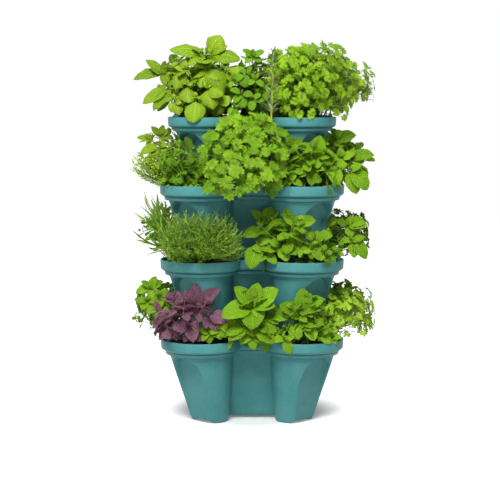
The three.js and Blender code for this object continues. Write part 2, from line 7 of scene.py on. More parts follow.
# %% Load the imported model
import math

import bpy
import numpy as np
from mathutils.geometry import tessellate_polygon
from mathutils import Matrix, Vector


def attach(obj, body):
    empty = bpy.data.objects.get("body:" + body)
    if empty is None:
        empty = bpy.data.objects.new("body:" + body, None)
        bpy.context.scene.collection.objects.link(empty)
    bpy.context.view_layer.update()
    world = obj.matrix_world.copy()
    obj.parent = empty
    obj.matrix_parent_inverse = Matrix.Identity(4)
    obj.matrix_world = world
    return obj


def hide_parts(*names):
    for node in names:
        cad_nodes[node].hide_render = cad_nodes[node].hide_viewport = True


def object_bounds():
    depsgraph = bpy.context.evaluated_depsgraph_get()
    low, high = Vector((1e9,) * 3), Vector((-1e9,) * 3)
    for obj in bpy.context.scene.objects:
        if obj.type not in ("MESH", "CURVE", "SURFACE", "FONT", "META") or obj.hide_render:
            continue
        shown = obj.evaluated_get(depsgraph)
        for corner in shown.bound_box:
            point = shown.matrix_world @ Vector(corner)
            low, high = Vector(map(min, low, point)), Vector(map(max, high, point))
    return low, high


MM = 0.001
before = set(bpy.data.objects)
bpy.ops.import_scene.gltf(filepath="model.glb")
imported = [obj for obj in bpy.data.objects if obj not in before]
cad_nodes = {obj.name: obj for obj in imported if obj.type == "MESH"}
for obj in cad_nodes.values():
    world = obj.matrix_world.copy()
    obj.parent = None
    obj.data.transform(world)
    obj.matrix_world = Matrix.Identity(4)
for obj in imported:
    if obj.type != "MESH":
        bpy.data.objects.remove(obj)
cad_bounds = [list(corner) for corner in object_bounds()]
print(len(cad_nodes), "packed pieces, box", cad_bounds)

# %% [markdown]
# ## Camera
# The photograph looks at the tower from the height of its top tier, tilted a little down, with a long
# lens. The place below was found by matching the pots' rims and feet, so that pots further down show more
# of their inner edges, just as they do in the photograph.

# %% Place the camera
CAMERA_PLACE_MM = (-3.7, -2842, 602.7)
CAMERA_DIP_DEGREES = 6.0
CAMERA_LENS_MM = 110.8

camera_data = bpy.data.cameras.new("camera")
camera_data.lens = CAMERA_LENS_MM
camera = bpy.data.objects.new("camera", camera_data)
camera.location = [value * MM for value in CAMERA_PLACE_MM]
camera.rotation_euler = (math.radians(90 - CAMERA_DIP_DEGREES), 0, 0)
bpy.context.scene.collection.objects.link(camera)
bpy.context.scene.camera = camera
print("camera", CAMERA_LENS_MM, "mm lens at", CAMERA_PLACE_MM)

# %% [markdown]
# ## Helpers for colours, node trees and meshes
# Colours are written as they look on a screen and turned to linear light by one function. One function
# adds a shader node with its settings and links. Meshes are filled from arrays, which stays quick even
# with a hundred thousand faces.

# %% Colours and shader nodes


def linear(hex_colour):
    """A screen colour as linear light: c / 12.92 near black, else ((c + 0.055) / 1.055) to the power 2.4."""
    screen = [int(hex_colour[i : i + 2], 16) / 255 for i in (1, 3, 5)]
    light = [c / 12.92 if c <= 0.04045 else ((c + 0.055) / 1.055) ** 2.4 for c in screen]
    return (*light, 1.0)


def add(tree, kind, inputs=None, out=0, **settings):
    """Adds a shader node and returns one of its outputs. inputs gives each socket, by name or number, a
    value or the output that feeds it."""
    node = tree.nodes.new(f"ShaderNode{kind}")
    for name, value in settings.items():
        setattr(node, name, value)
    for socket, value in (inputs or {}).items():
        if isinstance(value, bpy.types.NodeSocket):
            tree.links.new(value, node.inputs[socket])
        else:
            node.inputs[socket].default_value = value
    return node.outputs[out] if node.outputs else None


def start_material(name):
    """A material with an empty node tree, and that tree."""
    material = bpy.data.materials.new(name)
    material.use_nodes = True
    material.node_tree.nodes.clear()
    return material, material.node_tree


print("half grey in linear light:", round(linear("#808080")[0], 3))

# %% Meshes from arrays


def make_piece(name, points, faces, materials, material_of_face=None, sharp_degrees=40):
    """A smooth-shaded mesh object. points are in millimetres; faces is a list of whole-number arrays,
    one array for each number of corners."""
    mesh = bpy.data.meshes.new(name)
    mesh.vertices.add(len(points))
    mesh.vertices.foreach_set("co", (np.asarray(points) * MM).astype(np.float32).ravel())
    corners = np.concatenate([np.asarray(group).ravel() for group in faces])
    sizes = np.concatenate([np.full(len(group), np.shape(group)[1]) for group in faces])
    mesh.loops.add(len(corners))
    mesh.loops.foreach_set("vertex_index", corners.astype(np.int32))
    mesh.polygons.add(len(sizes))
    mesh.polygons.foreach_set("loop_start", (np.cumsum(sizes) - sizes).astype(np.int32))
    for material in materials:
        mesh.materials.append(material)
    if material_of_face is not None:
        mesh.polygons.foreach_set("material_index", material_of_face.astype(np.int32))
    mesh.update(calc_edges=True)
    mesh.validate()
    mesh.set_sharp_from_angle(angle=math.radians(sharp_degrees))
    piece = bpy.data.objects.new(name, mesh)
    bpy.context.scene.collection.objects.link(piece)
    return piece


def smooth_step(value, low, high):
    """0 below low, 1 above high, and 3t^2 - 2t^3 between them."""
    t = np.clip((value - low) / (high - low), 0, 1)
    return t * t * (3 - 2 * t)


def unit(vectors):
    """Each vector divided by its length."""
    return vectors / np.maximum(np.linalg.norm(vectors, axis=-1, keepdims=True), 1e-9)


print("helpers ready")

# %% [markdown]
# ## The pots' form
# A real pot of this kind is one injection moulding of polypropylene: four round lobes on the diagonals,
# flat webs between them, a collar of two bands, and a sunken facet with an arched top on each lobe. One
# grid of points covers the whole wall, from under the feet, up the outside, over the lip and down the
# inside. Along a row the points follow web, hollow fillet and lobe; from row to row the form's sizes change.

# %% Sizes of the standard pot
POT_HEIGHT = 154
BASE = dict(half_width=109.5, lobe_radius=34, web_reach=57)
BODY_TOP = dict(half_width=149, lobe_radius=57.75, web_reach=96)
RIM = dict(half_width=165, lobe_radius=73.5, web_reach=113)
BODY_TOP_Z = 125.5
LEDGE_Z = 127
BAND_STEP_Z = 134
BAND_FOOT_Z = 137.5
BAND_FOOT_INSET, SLOPE_FOOT_INSET, LOWER_BAND_INSET, LEDGE_INSET = 0.8, 5.2, 7.5, 9
WALL = 3
FILLET = 5
FACET_BASE_DEPTH, FACET_TOP_DEPTH = 8.6, 20
ARCH_FRONT_HALF, ARCH_SIDE_HALF = 34.5, 24
ARCH_SPRING_Z, ARCH_TOP_GAP, ARCH_SQUARENESS = 88, 1.5, 2.8
FOOT_HEIGHT, FOOT_DEPTH, FOOT_EDGE = 5, 18, 2.5
FLOOR_UNDER_Z, FLOOR_TOP_Z, DRAIN_RADIUS = 5.6, 8, 20
RING_RADIUS, RING_THICKNESS, RING_HEIGHT = 36.5, 2.5, 6
TIER_Z = dict(bottom=0, second=144, third=278, top=411.5)
TIER_BODY = dict(bottom="root", second="second_tier", third="third_tier", top="top_tier")
FORM_SHARE = dict(bottom=1, second=1, third=1, top=0.912)
TIER_NAMES = list(TIER_Z)
TIER_ABOVE = dict(zip(TIER_NAMES, TIER_NAMES[1:]))
RIM_Z = {tier: TIER_Z[tier] + POT_HEIGHT * FORM_SHARE[tier] for tier in TIER_NAMES}


def level(z, sizes, inset=0.0):
    """One height of the form as z, lobe centre, lobe radius and web reach, drawn in by inset."""
    centre = sizes["half_width"] - sizes["lobe_radius"]
    return np.array([z, centre, sizes["lobe_radius"] - inset, sizes["web_reach"] - inset], float)


BODY_LEVELS = np.array([level(0, BASE), level(BODY_TOP_Z, BODY_TOP)])
print("lobe centres from", BODY_LEVELS[0, 1], "mm at the feet to", BODY_LEVELS[1, 1], "mm under the collar")

# %% The outline of one height
WEB_COLUMNS, FILLET_COLUMNS, LOBE_COLUMNS, FACET_COLUMNS = 4, 5, 20, 30
FACET_START_SHARE = 0.62


def shares_of_segments():
    """How far along its own segment each column of an eighth stands: web, fillet, then lobe, whose
    columns lie closer together where the facet is."""
    lobe = np.linspace(0, FACET_START_SHARE, LOBE_COLUMNS, endpoint=False)
    facet = np.linspace(FACET_START_SHARE, 1, FACET_COLUMNS + 1)
    web = np.linspace(0, 1, WEB_COLUMNS, endpoint=False)
    fillet = np.linspace(0, 1, FILLET_COLUMNS, endpoint=False)
    return web, fillet, np.concatenate([lobe, facet])


def eighth_outline(centre, radius, reach):
    """Points and outward normals from the middle of the web on +X to the diagonal, for arrays of rows
    and columns. The web is the line x = reach. The lobe is a circle about (centre, centre). The fillet's
    centre lies at x = reach + FILLET, as far from the lobe's centre as the two radii together, and its
    arc turns from the web round to the lobe."""
    web_share, fillet_share, lobe_share = shares_of_segments()
    web = slice(0, len(web_share))
    fillet = slice(web.stop, web.stop + len(fillet_share))
    lobe = slice(fillet.stop, fillet.stop + len(lobe_share))
    fillet_x = reach + FILLET
    fillet_y = centre - np.sqrt((radius + FILLET) ** 2 - (fillet_x - centre) ** 2)
    to_lobe = np.arctan2(centre - fillet_y, centre - fillet_x)
    one = np.ones_like(centre[:, web])
    web_points = np.stack([reach[:, web], fillet_y[:, web] * web_share], axis=-1)
    web_normals = np.stack([one, 0 * one], axis=-1)
    turn = np.pi - fillet_share * (np.pi - to_lobe[:, fillet])
    fillet_normals = -np.stack([np.cos(turn), np.sin(turn)], axis=-1)
    fillet_centres = np.stack([fillet_x[:, fillet], fillet_y[:, fillet]], axis=-1)
    fillet_points = fillet_centres - FILLET * fillet_normals
    start = to_lobe[:, lobe] - np.pi
    around = start + lobe_share * (np.pi / 4 - start)
    lobe_normals = np.stack([np.cos(around), np.sin(around)], axis=-1)
    lobe_points = centre[:, lobe, None] + radius[:, lobe, None] * lobe_normals
    points = np.concatenate([web_points, fillet_points, lobe_points], axis=1)
    return points, np.concatenate([web_normals, fillet_normals, lobe_normals], axis=1)


def all_round(eighth):
    """Mirrors an eighth's columns over the diagonal and turns the quarter to the other three sides."""
    mirrored = eighth[:, -2:0:-1, ::-1]
    quarter = np.concatenate([eighth, mirrored], axis=1)
    x, y = quarter[..., 0], quarter[..., 1]
    turns = [(x, y), (-y, x), (-x, -y), (y, -x)]
    return np.concatenate([np.stack(turn, axis=-1) for turn in turns], axis=1)


eighth_columns = sum(len(share) for share in shares_of_segments())
print("columns round the pot:", 4 * (2 * eighth_columns - 2))

# %% Feet: how low the wall's edge comes, round a lobe
LOBE_HALF_SPAN_DEGREES = 155
FOOT_RISE_DEGREES = (41.6, 58)
FOOT_FALL_DEGREES = (105, 125)
DEPTH_FALL_DEGREES = (112, 135)
WEB_INSET = 4


def foot_columns():
    """For each column of an eighth, the height of the wall's lower edge and how far its underside
    reaches inwards. Angles are from the diagonal, round the lobe's base."""
    web_share, fillet_share, lobe_share = shares_of_segments()
    off_lobe = np.full(len(web_share) + len(fillet_share), 180.0)
    angle = np.concatenate([off_lobe, (1 - lobe_share) * LOBE_HALF_SPAN_DEGREES])
    foot = smooth_step(angle, *FOOT_RISE_DEGREES) * (1 - smooth_step(angle, *FOOT_FALL_DEGREES))
    depth = WEB_INSET + (FOOT_DEPTH - WEB_INSET) * (1 - smooth_step(angle, *DEPTH_FALL_DEGREES))
    return FOOT_HEIGHT * (1 - foot), depth


print("lowest edge", foot_columns()[0].min(), "mm, web edge", foot_columns()[0].max(), "mm")

# %% Rows of the wall, from under the feet to the inside of the floor


def rounded(corners, radii, steps=3):
    """A bent line with its inner corners rounded. Each corner p becomes (1-t)^2 a + 2t(1-t) p + t^2 b,
    where a and b lie a radius before and after it, or half way to the next corner if that is nearer."""
    middle = corners[1:-1]
    reach = np.asarray(radii, float)[:, None]

    def toward(other):
        gap = other - middle
        run = np.linalg.norm(gap[:, [0, 2]], axis=1, keepdims=True)
        return middle + gap * np.minimum(reach / run, 0.5)

    before, after = toward(corners[:-2]), toward(corners[2:])
    t = np.linspace(0, 1, steps)[None, :, None]
    curve = (1 - t) ** 2 * before[:, None] + 2 * t * (1 - t) * middle[:, None] + t**2 * after[:, None]
    return np.concatenate([corners[:1], curve.reshape(-1, corners.shape[1]), corners[-1:]])


def at_height(z):
    """The body's lobe centre, lobe radius and web reach at heights z: straight lines from base to top."""
    share = (z / BODY_TOP_Z)[..., None]
    return BODY_LEVELS[0, 1:] + share * (BODY_LEVELS[1, 1:] - BODY_LEVELS[0, 1:])


LEDGE_ROOT = 1.6
COLLAR = [
    (BODY_TOP_Z - LEDGE_ROOT, BODY_TOP, 0),
    (LEDGE_Z, BODY_TOP, 0),
    (LEDGE_Z, RIM, LEDGE_INSET),
    (BAND_STEP_Z, RIM, LOWER_BAND_INSET),
    (BAND_STEP_Z, RIM, SLOPE_FOOT_INSET),
    (BAND_FOOT_Z, RIM, BAND_FOOT_INSET),
    (POT_HEIGHT, RIM, 0),
    (POT_HEIGHT, RIM, WALL),
    (BAND_FOOT_Z + WALL / 2, RIM, BAND_FOOT_INSET + WALL),
    (BAND_STEP_Z - WALL / 2, RIM, LOWER_BAND_INSET + WALL),
    (BODY_TOP_Z + WALL / 2, BODY_TOP, WALL),
    (BODY_TOP_Z - WALL, BODY_TOP, WALL),
]
COLLAR_ROUNDING = [1.0, 0.8, 0.5, 0.6, 1.2, 1.3, 1.3, 2, 2, 2]
collar_levels = rounded(np.array([level(*row) for row in COLLAR]), COLLAR_ROUNDING)
LOWER_ROWS, UPPER_ROWS, INNER_ROWS, FOOT_BLEND_Z = 20, 25, 26, 24
UNDER_SPRING, UNDER_LEDGE, UNDER_COLLAR = 2, 3, 2
lower_heights = np.linspace(0, ARCH_SPRING_Z - UNDER_SPRING, LOWER_ROWS)
upper_heights = np.linspace(ARCH_SPRING_Z, BODY_TOP_Z - UNDER_LEDGE, UPPER_ROWS)
outer_heights = np.concatenate([lower_heights, upper_heights])
inner_heights = np.linspace(BODY_TOP_Z - WALL - UNDER_COLLAR, FLOOR_TOP_Z, INNER_ROWS)
EDGE_TURNS = np.radians([90, 60, 30])[:, None]


def wall_rows():
    """Heights, sizes, insets and facet growth of every row and column of an eighth of the wall."""
    edge, depth = foot_columns()
    ones = np.ones_like(edge)
    under_z = np.array([FLOOR_UNDER_Z * ones, edge])
    edge_z = edge + FOOT_EDGE * (1 - np.sin(EDGE_TURNS))
    warp = np.clip(1 - outer_heights / FOOT_BLEND_Z, 0, 1)[:, None]
    outer_z = outer_heights[:, None] + (edge + FOOT_EDGE) * warp
    inner_z = inner_heights[:, None] * ones
    z = np.concatenate([under_z, edge_z, outer_z, collar_levels[:, :1] * ones, inner_z])
    sizes = at_height(z)
    outside = len(under_z) + len(edge_z)
    collar = slice(outside + len(outer_z), outside + len(outer_z) + len(collar_levels))
    sizes[collar] = collar_levels[:, None, 1:]
    inset = np.zeros_like(z)
    inset[: len(under_z)] = depth
    inset[len(under_z) : outside] = FOOT_EDGE * (1 - np.cos(EDGE_TURNS))
    inset[collar.stop :] = WALL
    grow = np.zeros(len(z))
    grow[collar.stop :] = WALL
    return z, sizes, inset, grow


print("rows of the wall:", len(wall_rows()[0]))

# %% The sunken facets
FACET_CREASE, FACET_BLEND = 1.2, (-0.8, 1.6)
SIDE_SOFTNESS, SOFTNESS_ENDS_Z, SIDE_SHARES = 6.5, (110, 123), (0.02, 0.3)
TINY = 1e-6


def sink_facets(points, z, grow):
    """Moves lobe points back to the facet's plane. A point's way out along its diagonal is (|x| + |y|) /
    root 2 and its way aside is (|y| - |x|) / root 2. Inside the arch, whose crown is a squared ellipse,
    the way out is cut at a plane that leans from the facet's foot to its top. Its step is short at the
    front and softer at the side."""
    x, y = points[..., 0], points[..., 1]
    out = (abs(x) + abs(y)) / math.sqrt(2)
    aside = (abs(y) - abs(x)) / math.sqrt(2)
    grow = grow[:, None]
    reaches = BODY_LEVELS[:, 1] * math.sqrt(2) + BODY_LEVELS[:, 2]
    foot, top = reaches[0] - FACET_BASE_DEPTH, reaches[1] - FACET_TOP_DEPTH
    plane = foot + (top - foot) * z / BODY_TOP_Z - grow
    half = np.where(aside > 0, ARCH_FRONT_HALF, ARCH_SIDE_HALF) + grow
    crown = BODY_TOP_Z - ARCH_TOP_GAP + grow - ARCH_SPRING_Z
    sideways = (abs(aside) / half) ** ARCH_SQUARENESS
    upwards = (np.maximum(z - ARCH_SPRING_Z, 0) / crown) ** ARCH_SQUARENESS
    total = sideways + upwards
    scale = (half * (sideways + TINY) + crown * upwards) / (total + TINY)
    room = (1 - total ** (1 / ARCH_SQUARENESS)) * scale
    over = out - plane
    depth = (over + np.sqrt(over**2 + FACET_CREASE**2)) / 2
    to_side = smooth_step(sideways / (total + TINY), *SIDE_SHARES) * (1 - smooth_step(z, *SOFTNESS_ENDS_Z))
    softer = np.where(aside < 0, SIDE_SOFTNESS * to_side, 0)
    sink = depth * smooth_step(room, FACET_BLEND[0] - softer, FACET_BLEND[1]) / math.sqrt(2)
    return points - np.sign(points) * sink[..., None]


print("facets sink", FACET_BASE_DEPTH, "mm at the foot and", FACET_TOP_DEPTH, "mm at the top")

# %% The whole pot as points and faces
ROUND_STEPS, RING_SINK = 64, 0.2


def grid_faces(rows, columns):
    """Quads of a grid whose last column joins its first, wound so that they face outwards."""
    index = np.arange(rows * columns).reshape(rows, columns)
    beside = np.roll(index, -1, axis=1)
    quads = [index[:-1], beside[:-1], beside[1:], index[1:]]
    return np.stack(quads, axis=-1).reshape(-1, 4)


def circle(radius, z):
    """Points round a level circle, anticlockwise from +X."""
    angle = np.linspace(0, 2 * np.pi, ROUND_STEPS, endpoint=False)
    height = np.full(ROUND_STEPS, float(z))
    return np.stack([radius * np.cos(angle), radius * np.sin(angle), height], axis=-1)


def fill_between(points, outer, hole, upwards):
    """Triangles of a flat region between an outer loop and a round hole, facing up or down."""
    loops = [[tuple(points[i]) for i in outer], [tuple(points[i]) for i in hole]]
    names = np.concatenate([outer, hole])
    triangles = names[np.array(tessellate_polygon(loops))]
    a, b, c = (points[triangles[:, i], :2] for i in range(3))
    area = (b - a)[:, 0] * (c - a)[:, 1] - (b - a)[:, 1] * (c - a)[:, 0]
    wrong = (area > 0) != upwards
    triangles[wrong] = triangles[wrong][:, ::-1]
    return triangles[abs(area) > TINY]


def pot_surface():
    """The whole pot: the wall's grid, the floor's two faces with the drain hole, and the ring that
    locates the support post."""
    z, sizes, inset, grow = wall_rows()
    flat, normals = eighth_outline(sizes[..., 0], sizes[..., 1], sizes[..., 2])
    height = abs(all_round(np.stack([z, z], axis=-1))[..., 0])
    flat = sink_facets(all_round(flat - normals * inset[..., None]), height, grow)
    rows, columns = height.shape
    wall = np.concatenate([flat, height[..., None]], axis=-1).reshape(-1, 3)
    outer, top, foot = RING_RADIUS + RING_THICKNESS, FLOOR_TOP_Z + RING_HEIGHT, FLOOR_TOP_Z - RING_SINK
    hole = [(DRAIN_RADIUS, FLOOR_UNDER_Z), (DRAIN_RADIUS, FLOOR_TOP_Z)]
    ring = [(outer, foot), (outer, top), (RING_RADIUS, top), (RING_RADIUS, foot)]
    points = np.concatenate([wall] + [circle(*place) for place in hole + ring])
    circles = len(wall) + np.arange(len(points) - len(wall)).reshape(-1, ROUND_STEPS)
    under, above, foot_out, foot_in = circles[[0, 1, 2, 5]]
    hole_wall = np.stack([under, above, np.roll(above, -1), np.roll(under, -1)], axis=-1)
    ring_faces = grid_faces(len(ring), ROUND_STEPS) + foot_out[0]
    ring_under = np.stack([foot_in, np.roll(foot_in, -1), np.roll(foot_out, -1), foot_out], axis=-1)
    inner = (rows - 1) * columns + np.arange(columns)
    caps = [
        fill_between(points, np.arange(columns), under, upwards=False),
        fill_between(points, inner, above, upwards=True),
    ]
    quads = np.concatenate([grid_faces(rows, columns), hole_wall, ring_faces, ring_under])
    return points, [quads, np.concatenate(caps)]


pot_points, pot_faces = pot_surface()
print("one pot:", len(pot_points), "points,", [len(group) for group in pot_faces], "faces")

# %% [markdown]
# ## Teal polypropylene
# The pots are injection-moulded polypropylene with a satin skin. Up close it shows faint streaks up the
# wall, where it slid out of its mould, a fine pebbled grain and slightly uneven gloss. Convex edges are
# painted a touch paler, partly as handling wear and partly as a painted highlight, and concave creases and
# the collar's two grooves are darkened with painted shade, as thin dark lines. Noise drives the streaks and
# the grain, in millimetre sizes; an attribute marks the grooves' painted shadow.

# %% Moulded polypropylene
# The deepest colour is painted shade, laid into the collar's grooves and the concave creases.
POT_TEAL, POT_TEAL_PALE, POT_TEAL_DEEP, POT_PAINTED_SHADE = "#4a8a8b", "#559493", "#3d7f80", "#174a4b"
STREAK_WIDTH_MM, STREAK_LENGTH_MM, GRAIN_MM, CLOUD_MM = 2.2, 60, 0.9, 45
CLOUD_SHADE = {"From Min": 0.35, "From Max": 0.65}
STREAK_SHADE = {"From Min": 0.4, "From Max": 0.75, "To Max": 0.4}
WORN_AND_HIGHLIT_EDGE = {"From Min": 0.52, "From Max": 0.6, "To Max": 0.5}
PAINTED_CREASE_SHADE = {"From Min": 0.4, "From Max": 0.485, "To Min": 0.75, "To Max": 0.0}
PAINTED_GROOVE_SHADE = {"From Min": 0.62, "From Max": 1.0}
SATIN_GLOSS = {"To Min": 0.4, "To Max": 0.55}
POT_GLASSINESS = {"IOR": 1.49, "Specular IOR Level": 0.2}


def moulded_polypropylene():
    """Satin teal plastic: soft clouds of colour, upright mould streaks, edges painted paler as wear and a
    highlight, painted shade in creases and grooves, and a fine grain in the bump.
    """
    material, tree = start_material("moulded_polypropylene_teal")
    place = add(tree, "TexCoord", out="Object")
    widths = (STREAK_WIDTH_MM, STREAK_WIDTH_MM, STREAK_LENGTH_MM)
    stretched = add(tree, "Mapping", {"Vector": place, "Scale": [1 / (width * MM) for width in widths]})
    streaks = add(tree, "TexNoise", {"Vector": stretched, "Scale": 1.0, "Detail": 3.0})
    clouds = add(tree, "TexNoise", {"Vector": place, "Scale": 1 / (CLOUD_MM * MM), "Detail": 3.0})
    grain = add(tree, "TexNoise", {"Vector": place, "Scale": 1 / (GRAIN_MM * MM), "Detail": 2.0})
    bend = add(tree, "NewGeometry", out="Pointiness")
    shadow_mark = add(tree, "Attribute", out="Fac", attribute_name="groove_shadow")
    shade = add(tree, "MapRange", {"Value": clouds, **CLOUD_SHADE})
    streak = add(tree, "MapRange", {"Value": streaks, **STREAK_SHADE})
    # Convex edges turn paler: partly handling wear, partly a painted highlight along the rims.
    edge = add(tree, "MapRange", {"Value": bend, **WORN_AND_HIGHLIT_EDGE})
    # Concave creases, found by pointiness, turn darker: painted shade.
    crease_shade = add(tree, "MapRange", {"Value": bend, **PAINTED_CREASE_SHADE})
    # The grooves' attribute paints thin dark lines: the shadow under the collar's steps.
    groove_shadow = add(tree, "MapRange", {"Value": shadow_mark, **PAINTED_GROOVE_SHADE})
    painted_shade = add(tree, "Math", {0: crease_shade, 1: groove_shadow}, operation="MAXIMUM")
    colour = linear(POT_TEAL_DEEP)
    layers = [(shade, POT_TEAL), (streak, POT_TEAL_PALE), (edge, POT_TEAL_PALE), (painted_shade, POT_PAINTED_SHADE)]
    for cover, tint in layers:
        colour = add(tree, "Mix", {"Factor": cover, "A": colour, "B": linear(tint)}, 2, data_type="RGBA")
    gloss = add(tree, "MapRange", {"Value": clouds, **SATIN_GLOSS})
    rough = add(tree, "Math", {0: grain, 1: streaks}, operation="ADD")
    bump = add(tree, "Bump", {"Height": rough, "Strength": 0.12, "Distance": 0.0004})
    sockets = {"Base Color": colour, "Roughness": gloss, "Normal": bump, **POT_GLASSINESS}
    add(tree, "OutputMaterial", {"Surface": add(tree, "BsdfPrincipled", sockets)})
    return material


polypropylene = moulded_polypropylene()
print("made", polypropylene.name)

# %% Stack the pots
# Each groove of the collar, as its height and how far its painted shadow reaches below and above it
SHADOWED_GROOVES = [(LEDGE_Z, 1.1, 0.1), (BAND_STEP_Z, 0.7, 0.9)]
pot_z = pot_points[:, 2]
# Points within each groove's band are marked for its painted shadow.
groove_shadow_marks = sum((pot_z > at - below) & (pot_z < at + over) for at, below, over in SHADOWED_GROOVES)
for tier in TIER_NAMES:
    points = pot_points * FORM_SHARE[tier] + [0, 0, TIER_Z[tier]]
    pot = make_piece(f"{tier}_moulded_pot", points, pot_faces, [polypropylene], sharp_degrees=50)
    shadow_layer = pot.data.attributes.new("groove_shadow", "FLOAT", "POINT")
    shadow_layer.data.foreach_set("value", groove_shadow_marks.astype(np.float32))
    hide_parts(f"{tier}_pot")
    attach(pot, TIER_BODY[tier])
print("pots stand at", TIER_Z)

# %% [markdown]
# ## Plastic fittings inside
# A slotted screen lies over each drain hole and a hollow post carries the next pot. They are plain dark
# mouldings that only show when a tier is lifted off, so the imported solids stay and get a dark, finely
# grained plastic with a few dry soil smears.

# %% Dark fitting plastic
FITTING_DARK, FITTING_DUST, FITTING_GRAIN_MM, SMEAR_MM = "#28312f", "#5d4f40", 1.1, 14
DUST_SHADE = {"From Min": 0.5, "From Max": 0.75, "To Max": 0.6}
DULL_GLOSS = {"To Min": 0.45, "To Max": 0.8}


def fitting_polypropylene():
    """Dark plastic with a grain in its bump and soil dust in low patches of noise."""
    material, tree = start_material("fitting_polypropylene_dark")
    place = add(tree, "TexCoord", out="Object")
    grain = add(tree, "TexNoise", {"Vector": place, "Scale": 1 / (FITTING_GRAIN_MM * MM), "Detail": 2.0})
    smears = add(tree, "TexNoise", {"Vector": place, "Scale": 1 / (SMEAR_MM * MM), "Detail": 5.0})
    dust = add(tree, "MapRange", {"Value": smears, **DUST_SHADE})
    tints = {"Factor": dust, "A": linear(FITTING_DARK), "B": linear(FITTING_DUST)}
    colour = add(tree, "Mix", tints, 2, data_type="RGBA")
    dull = add(tree, "MapRange", {"Value": smears, **DULL_GLOSS})
    bump = add(tree, "Bump", {"Height": grain, "Strength": 0.25, "Distance": 0.0005})
    sockets = {"Base Color": colour, "Roughness": dull, "Normal": bump, "IOR": 1.49}
    add(tree, "OutputMaterial", {"Surface": add(tree, "BsdfPrincipled", sockets)})
    return material


def dress_nodes(ending, material):
    """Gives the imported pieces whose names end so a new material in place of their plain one."""
    nodes = [node for node in cad_nodes if node.endswith(ending)]
    for node in nodes:
        cad_nodes[node].data.materials.clear()
        cad_nodes[node].data.materials.append(material)
    return len(nodes)


print("fittings dressed:", dress_nodes(("_drain_screen", "_support_post"), fitting_polypropylene()))

# %% [markdown]
# ## Potting soil
# Potting mix is peat, bark crumbs and a little grit: nearly black when moist, with no shine. The packed
# soil solid carries the colour and a lumpy bump, and loose crumbs of a few millimetres lie on its top,
# because between the leaves the eye only ever sees crumbs and shadow.

# %% Moist potting mix
SOIL_DARK, SOIL_BROWN, SOIL_FIBRE = "#17110c", "#33261a", "#5a4630"
LUMP_MM, CRUMB_MM = 9, 2.2
FIBRE_SHADE = {"From Min": 0.8, "From Max": 0.95, "To Max": 0.7}


def moist_potting_mix():
    """Peat and bark: dark brown mottled by two sizes of noise, fully rough, with a deep bump."""
    material, tree = start_material("moist_potting_mix")
    place = add(tree, "TexCoord", out="Object")
    lumps = add(tree, "TexNoise", {"Vector": place, "Scale": 1 / (LUMP_MM * MM), "Detail": 4.0})
    crumbs = add(tree, "TexVoronoi", {"Vector": place, "Scale": 1 / (CRUMB_MM * MM)}, "Color")
    fibre = add(tree, "MapRange", {"Value": crumbs, **FIBRE_SHADE})
    colour = linear(SOIL_DARK)
    for cover, tint in [(lumps, SOIL_BROWN), (fibre, SOIL_FIBRE)]:
        colour = add(tree, "Mix", {"Factor": cover, "A": colour, "B": linear(tint)}, 2, data_type="RGBA")
    height = add(tree, "Math", {0: lumps, 1: crumbs.node.outputs["Distance"]}, operation="SUBTRACT")
    bump = add(tree, "Bump", {"Height": height, "Strength": 0.9, "Distance": 0.002})
    sockets = {"Base Color": colour, "Roughness": 0.95, "Normal": bump, "Specular IOR Level": 0.2}
    add(tree, "OutputMaterial", {"Surface": add(tree, "BsdfPrincipled", sockets)})
    return material


potting_mix = moist_potting_mix()
print("soils dressed:", dress_nodes("_soil", potting_mix))

# %% Keeping things clear of the pots
WALL_LEVELS = np.array(
    [
        level(0, BASE),
        level(BODY_TOP_Z, BODY_TOP),
        level(BODY_TOP_Z + 0.1, RIM, LEDGE_INSET),
        level(BAND_FOOT_Z, RIM, BAND_FOOT_INSET),
        level(POT_HEIGHT, RIM),
    ]
)
LEAF_GAP_MM, POT_MARGIN_MM, RIM_MARGIN_MM = 1.5, 2, 1


def way_out(points, tier):
    """How far points lie outside a tier's pot at their own height, and the level direction away from it.
    The form is a square of half width web reach, joined with circles about the four lobe centres."""
    share = FORM_SHARE[tier]
    z = np.clip((points[..., 2] - TIER_Z[tier]) / share, 0, POT_HEIGHT)
    centre, radius, reach = (np.interp(z, WALL_LEVELS[:, 0], WALL_LEVELS[:, k]) * share for k in (1, 2, 3))
    flat = points[..., :2]
    from_lobe = abs(flat) - centre[..., None]
    lobe = np.linalg.norm(from_lobe, axis=-1) - radius
    furthest = abs(flat).max(axis=-1, keepdims=True)
    web = furthest[..., 0] - reach
    lobe_way = unit(from_lobe) * np.sign(flat)
    web_way = np.sign(flat) * (abs(flat) >= furthest)
    return np.minimum(lobe, web), unit(np.where((lobe < web)[..., None], lobe_way, web_way))


def keep_clear(points, tier):
    """Slides points that would cut into the pot above, or into this pot's wall, outwards until a gap is
    left."""
    points = points.copy()
    z = points[..., 2]
    above = TIER_ABOVE.get(tier)
    for pot in filter(None, (above, tier)):
        distance, way = way_out(points, pot)
        if pot == above:
            touched = (z > TIER_Z[pot] - POT_MARGIN_MM) & (z < RIM_Z[pot] + POT_MARGIN_MM)
        else:
            touched = (z < RIM_Z[pot] + RIM_MARGIN_MM) & (distance > -WALL - POT_MARGIN_MM)
        push = np.where(touched, np.clip(LEAF_GAP_MM - distance, 0, None), 0)
        points[..., :2] += way * push[..., None]
    return points


probe = np.array([[0.0, -100, 200], [0, -150, 200]])
print("way out of the second pot:", way_out(probe, "second")[0])

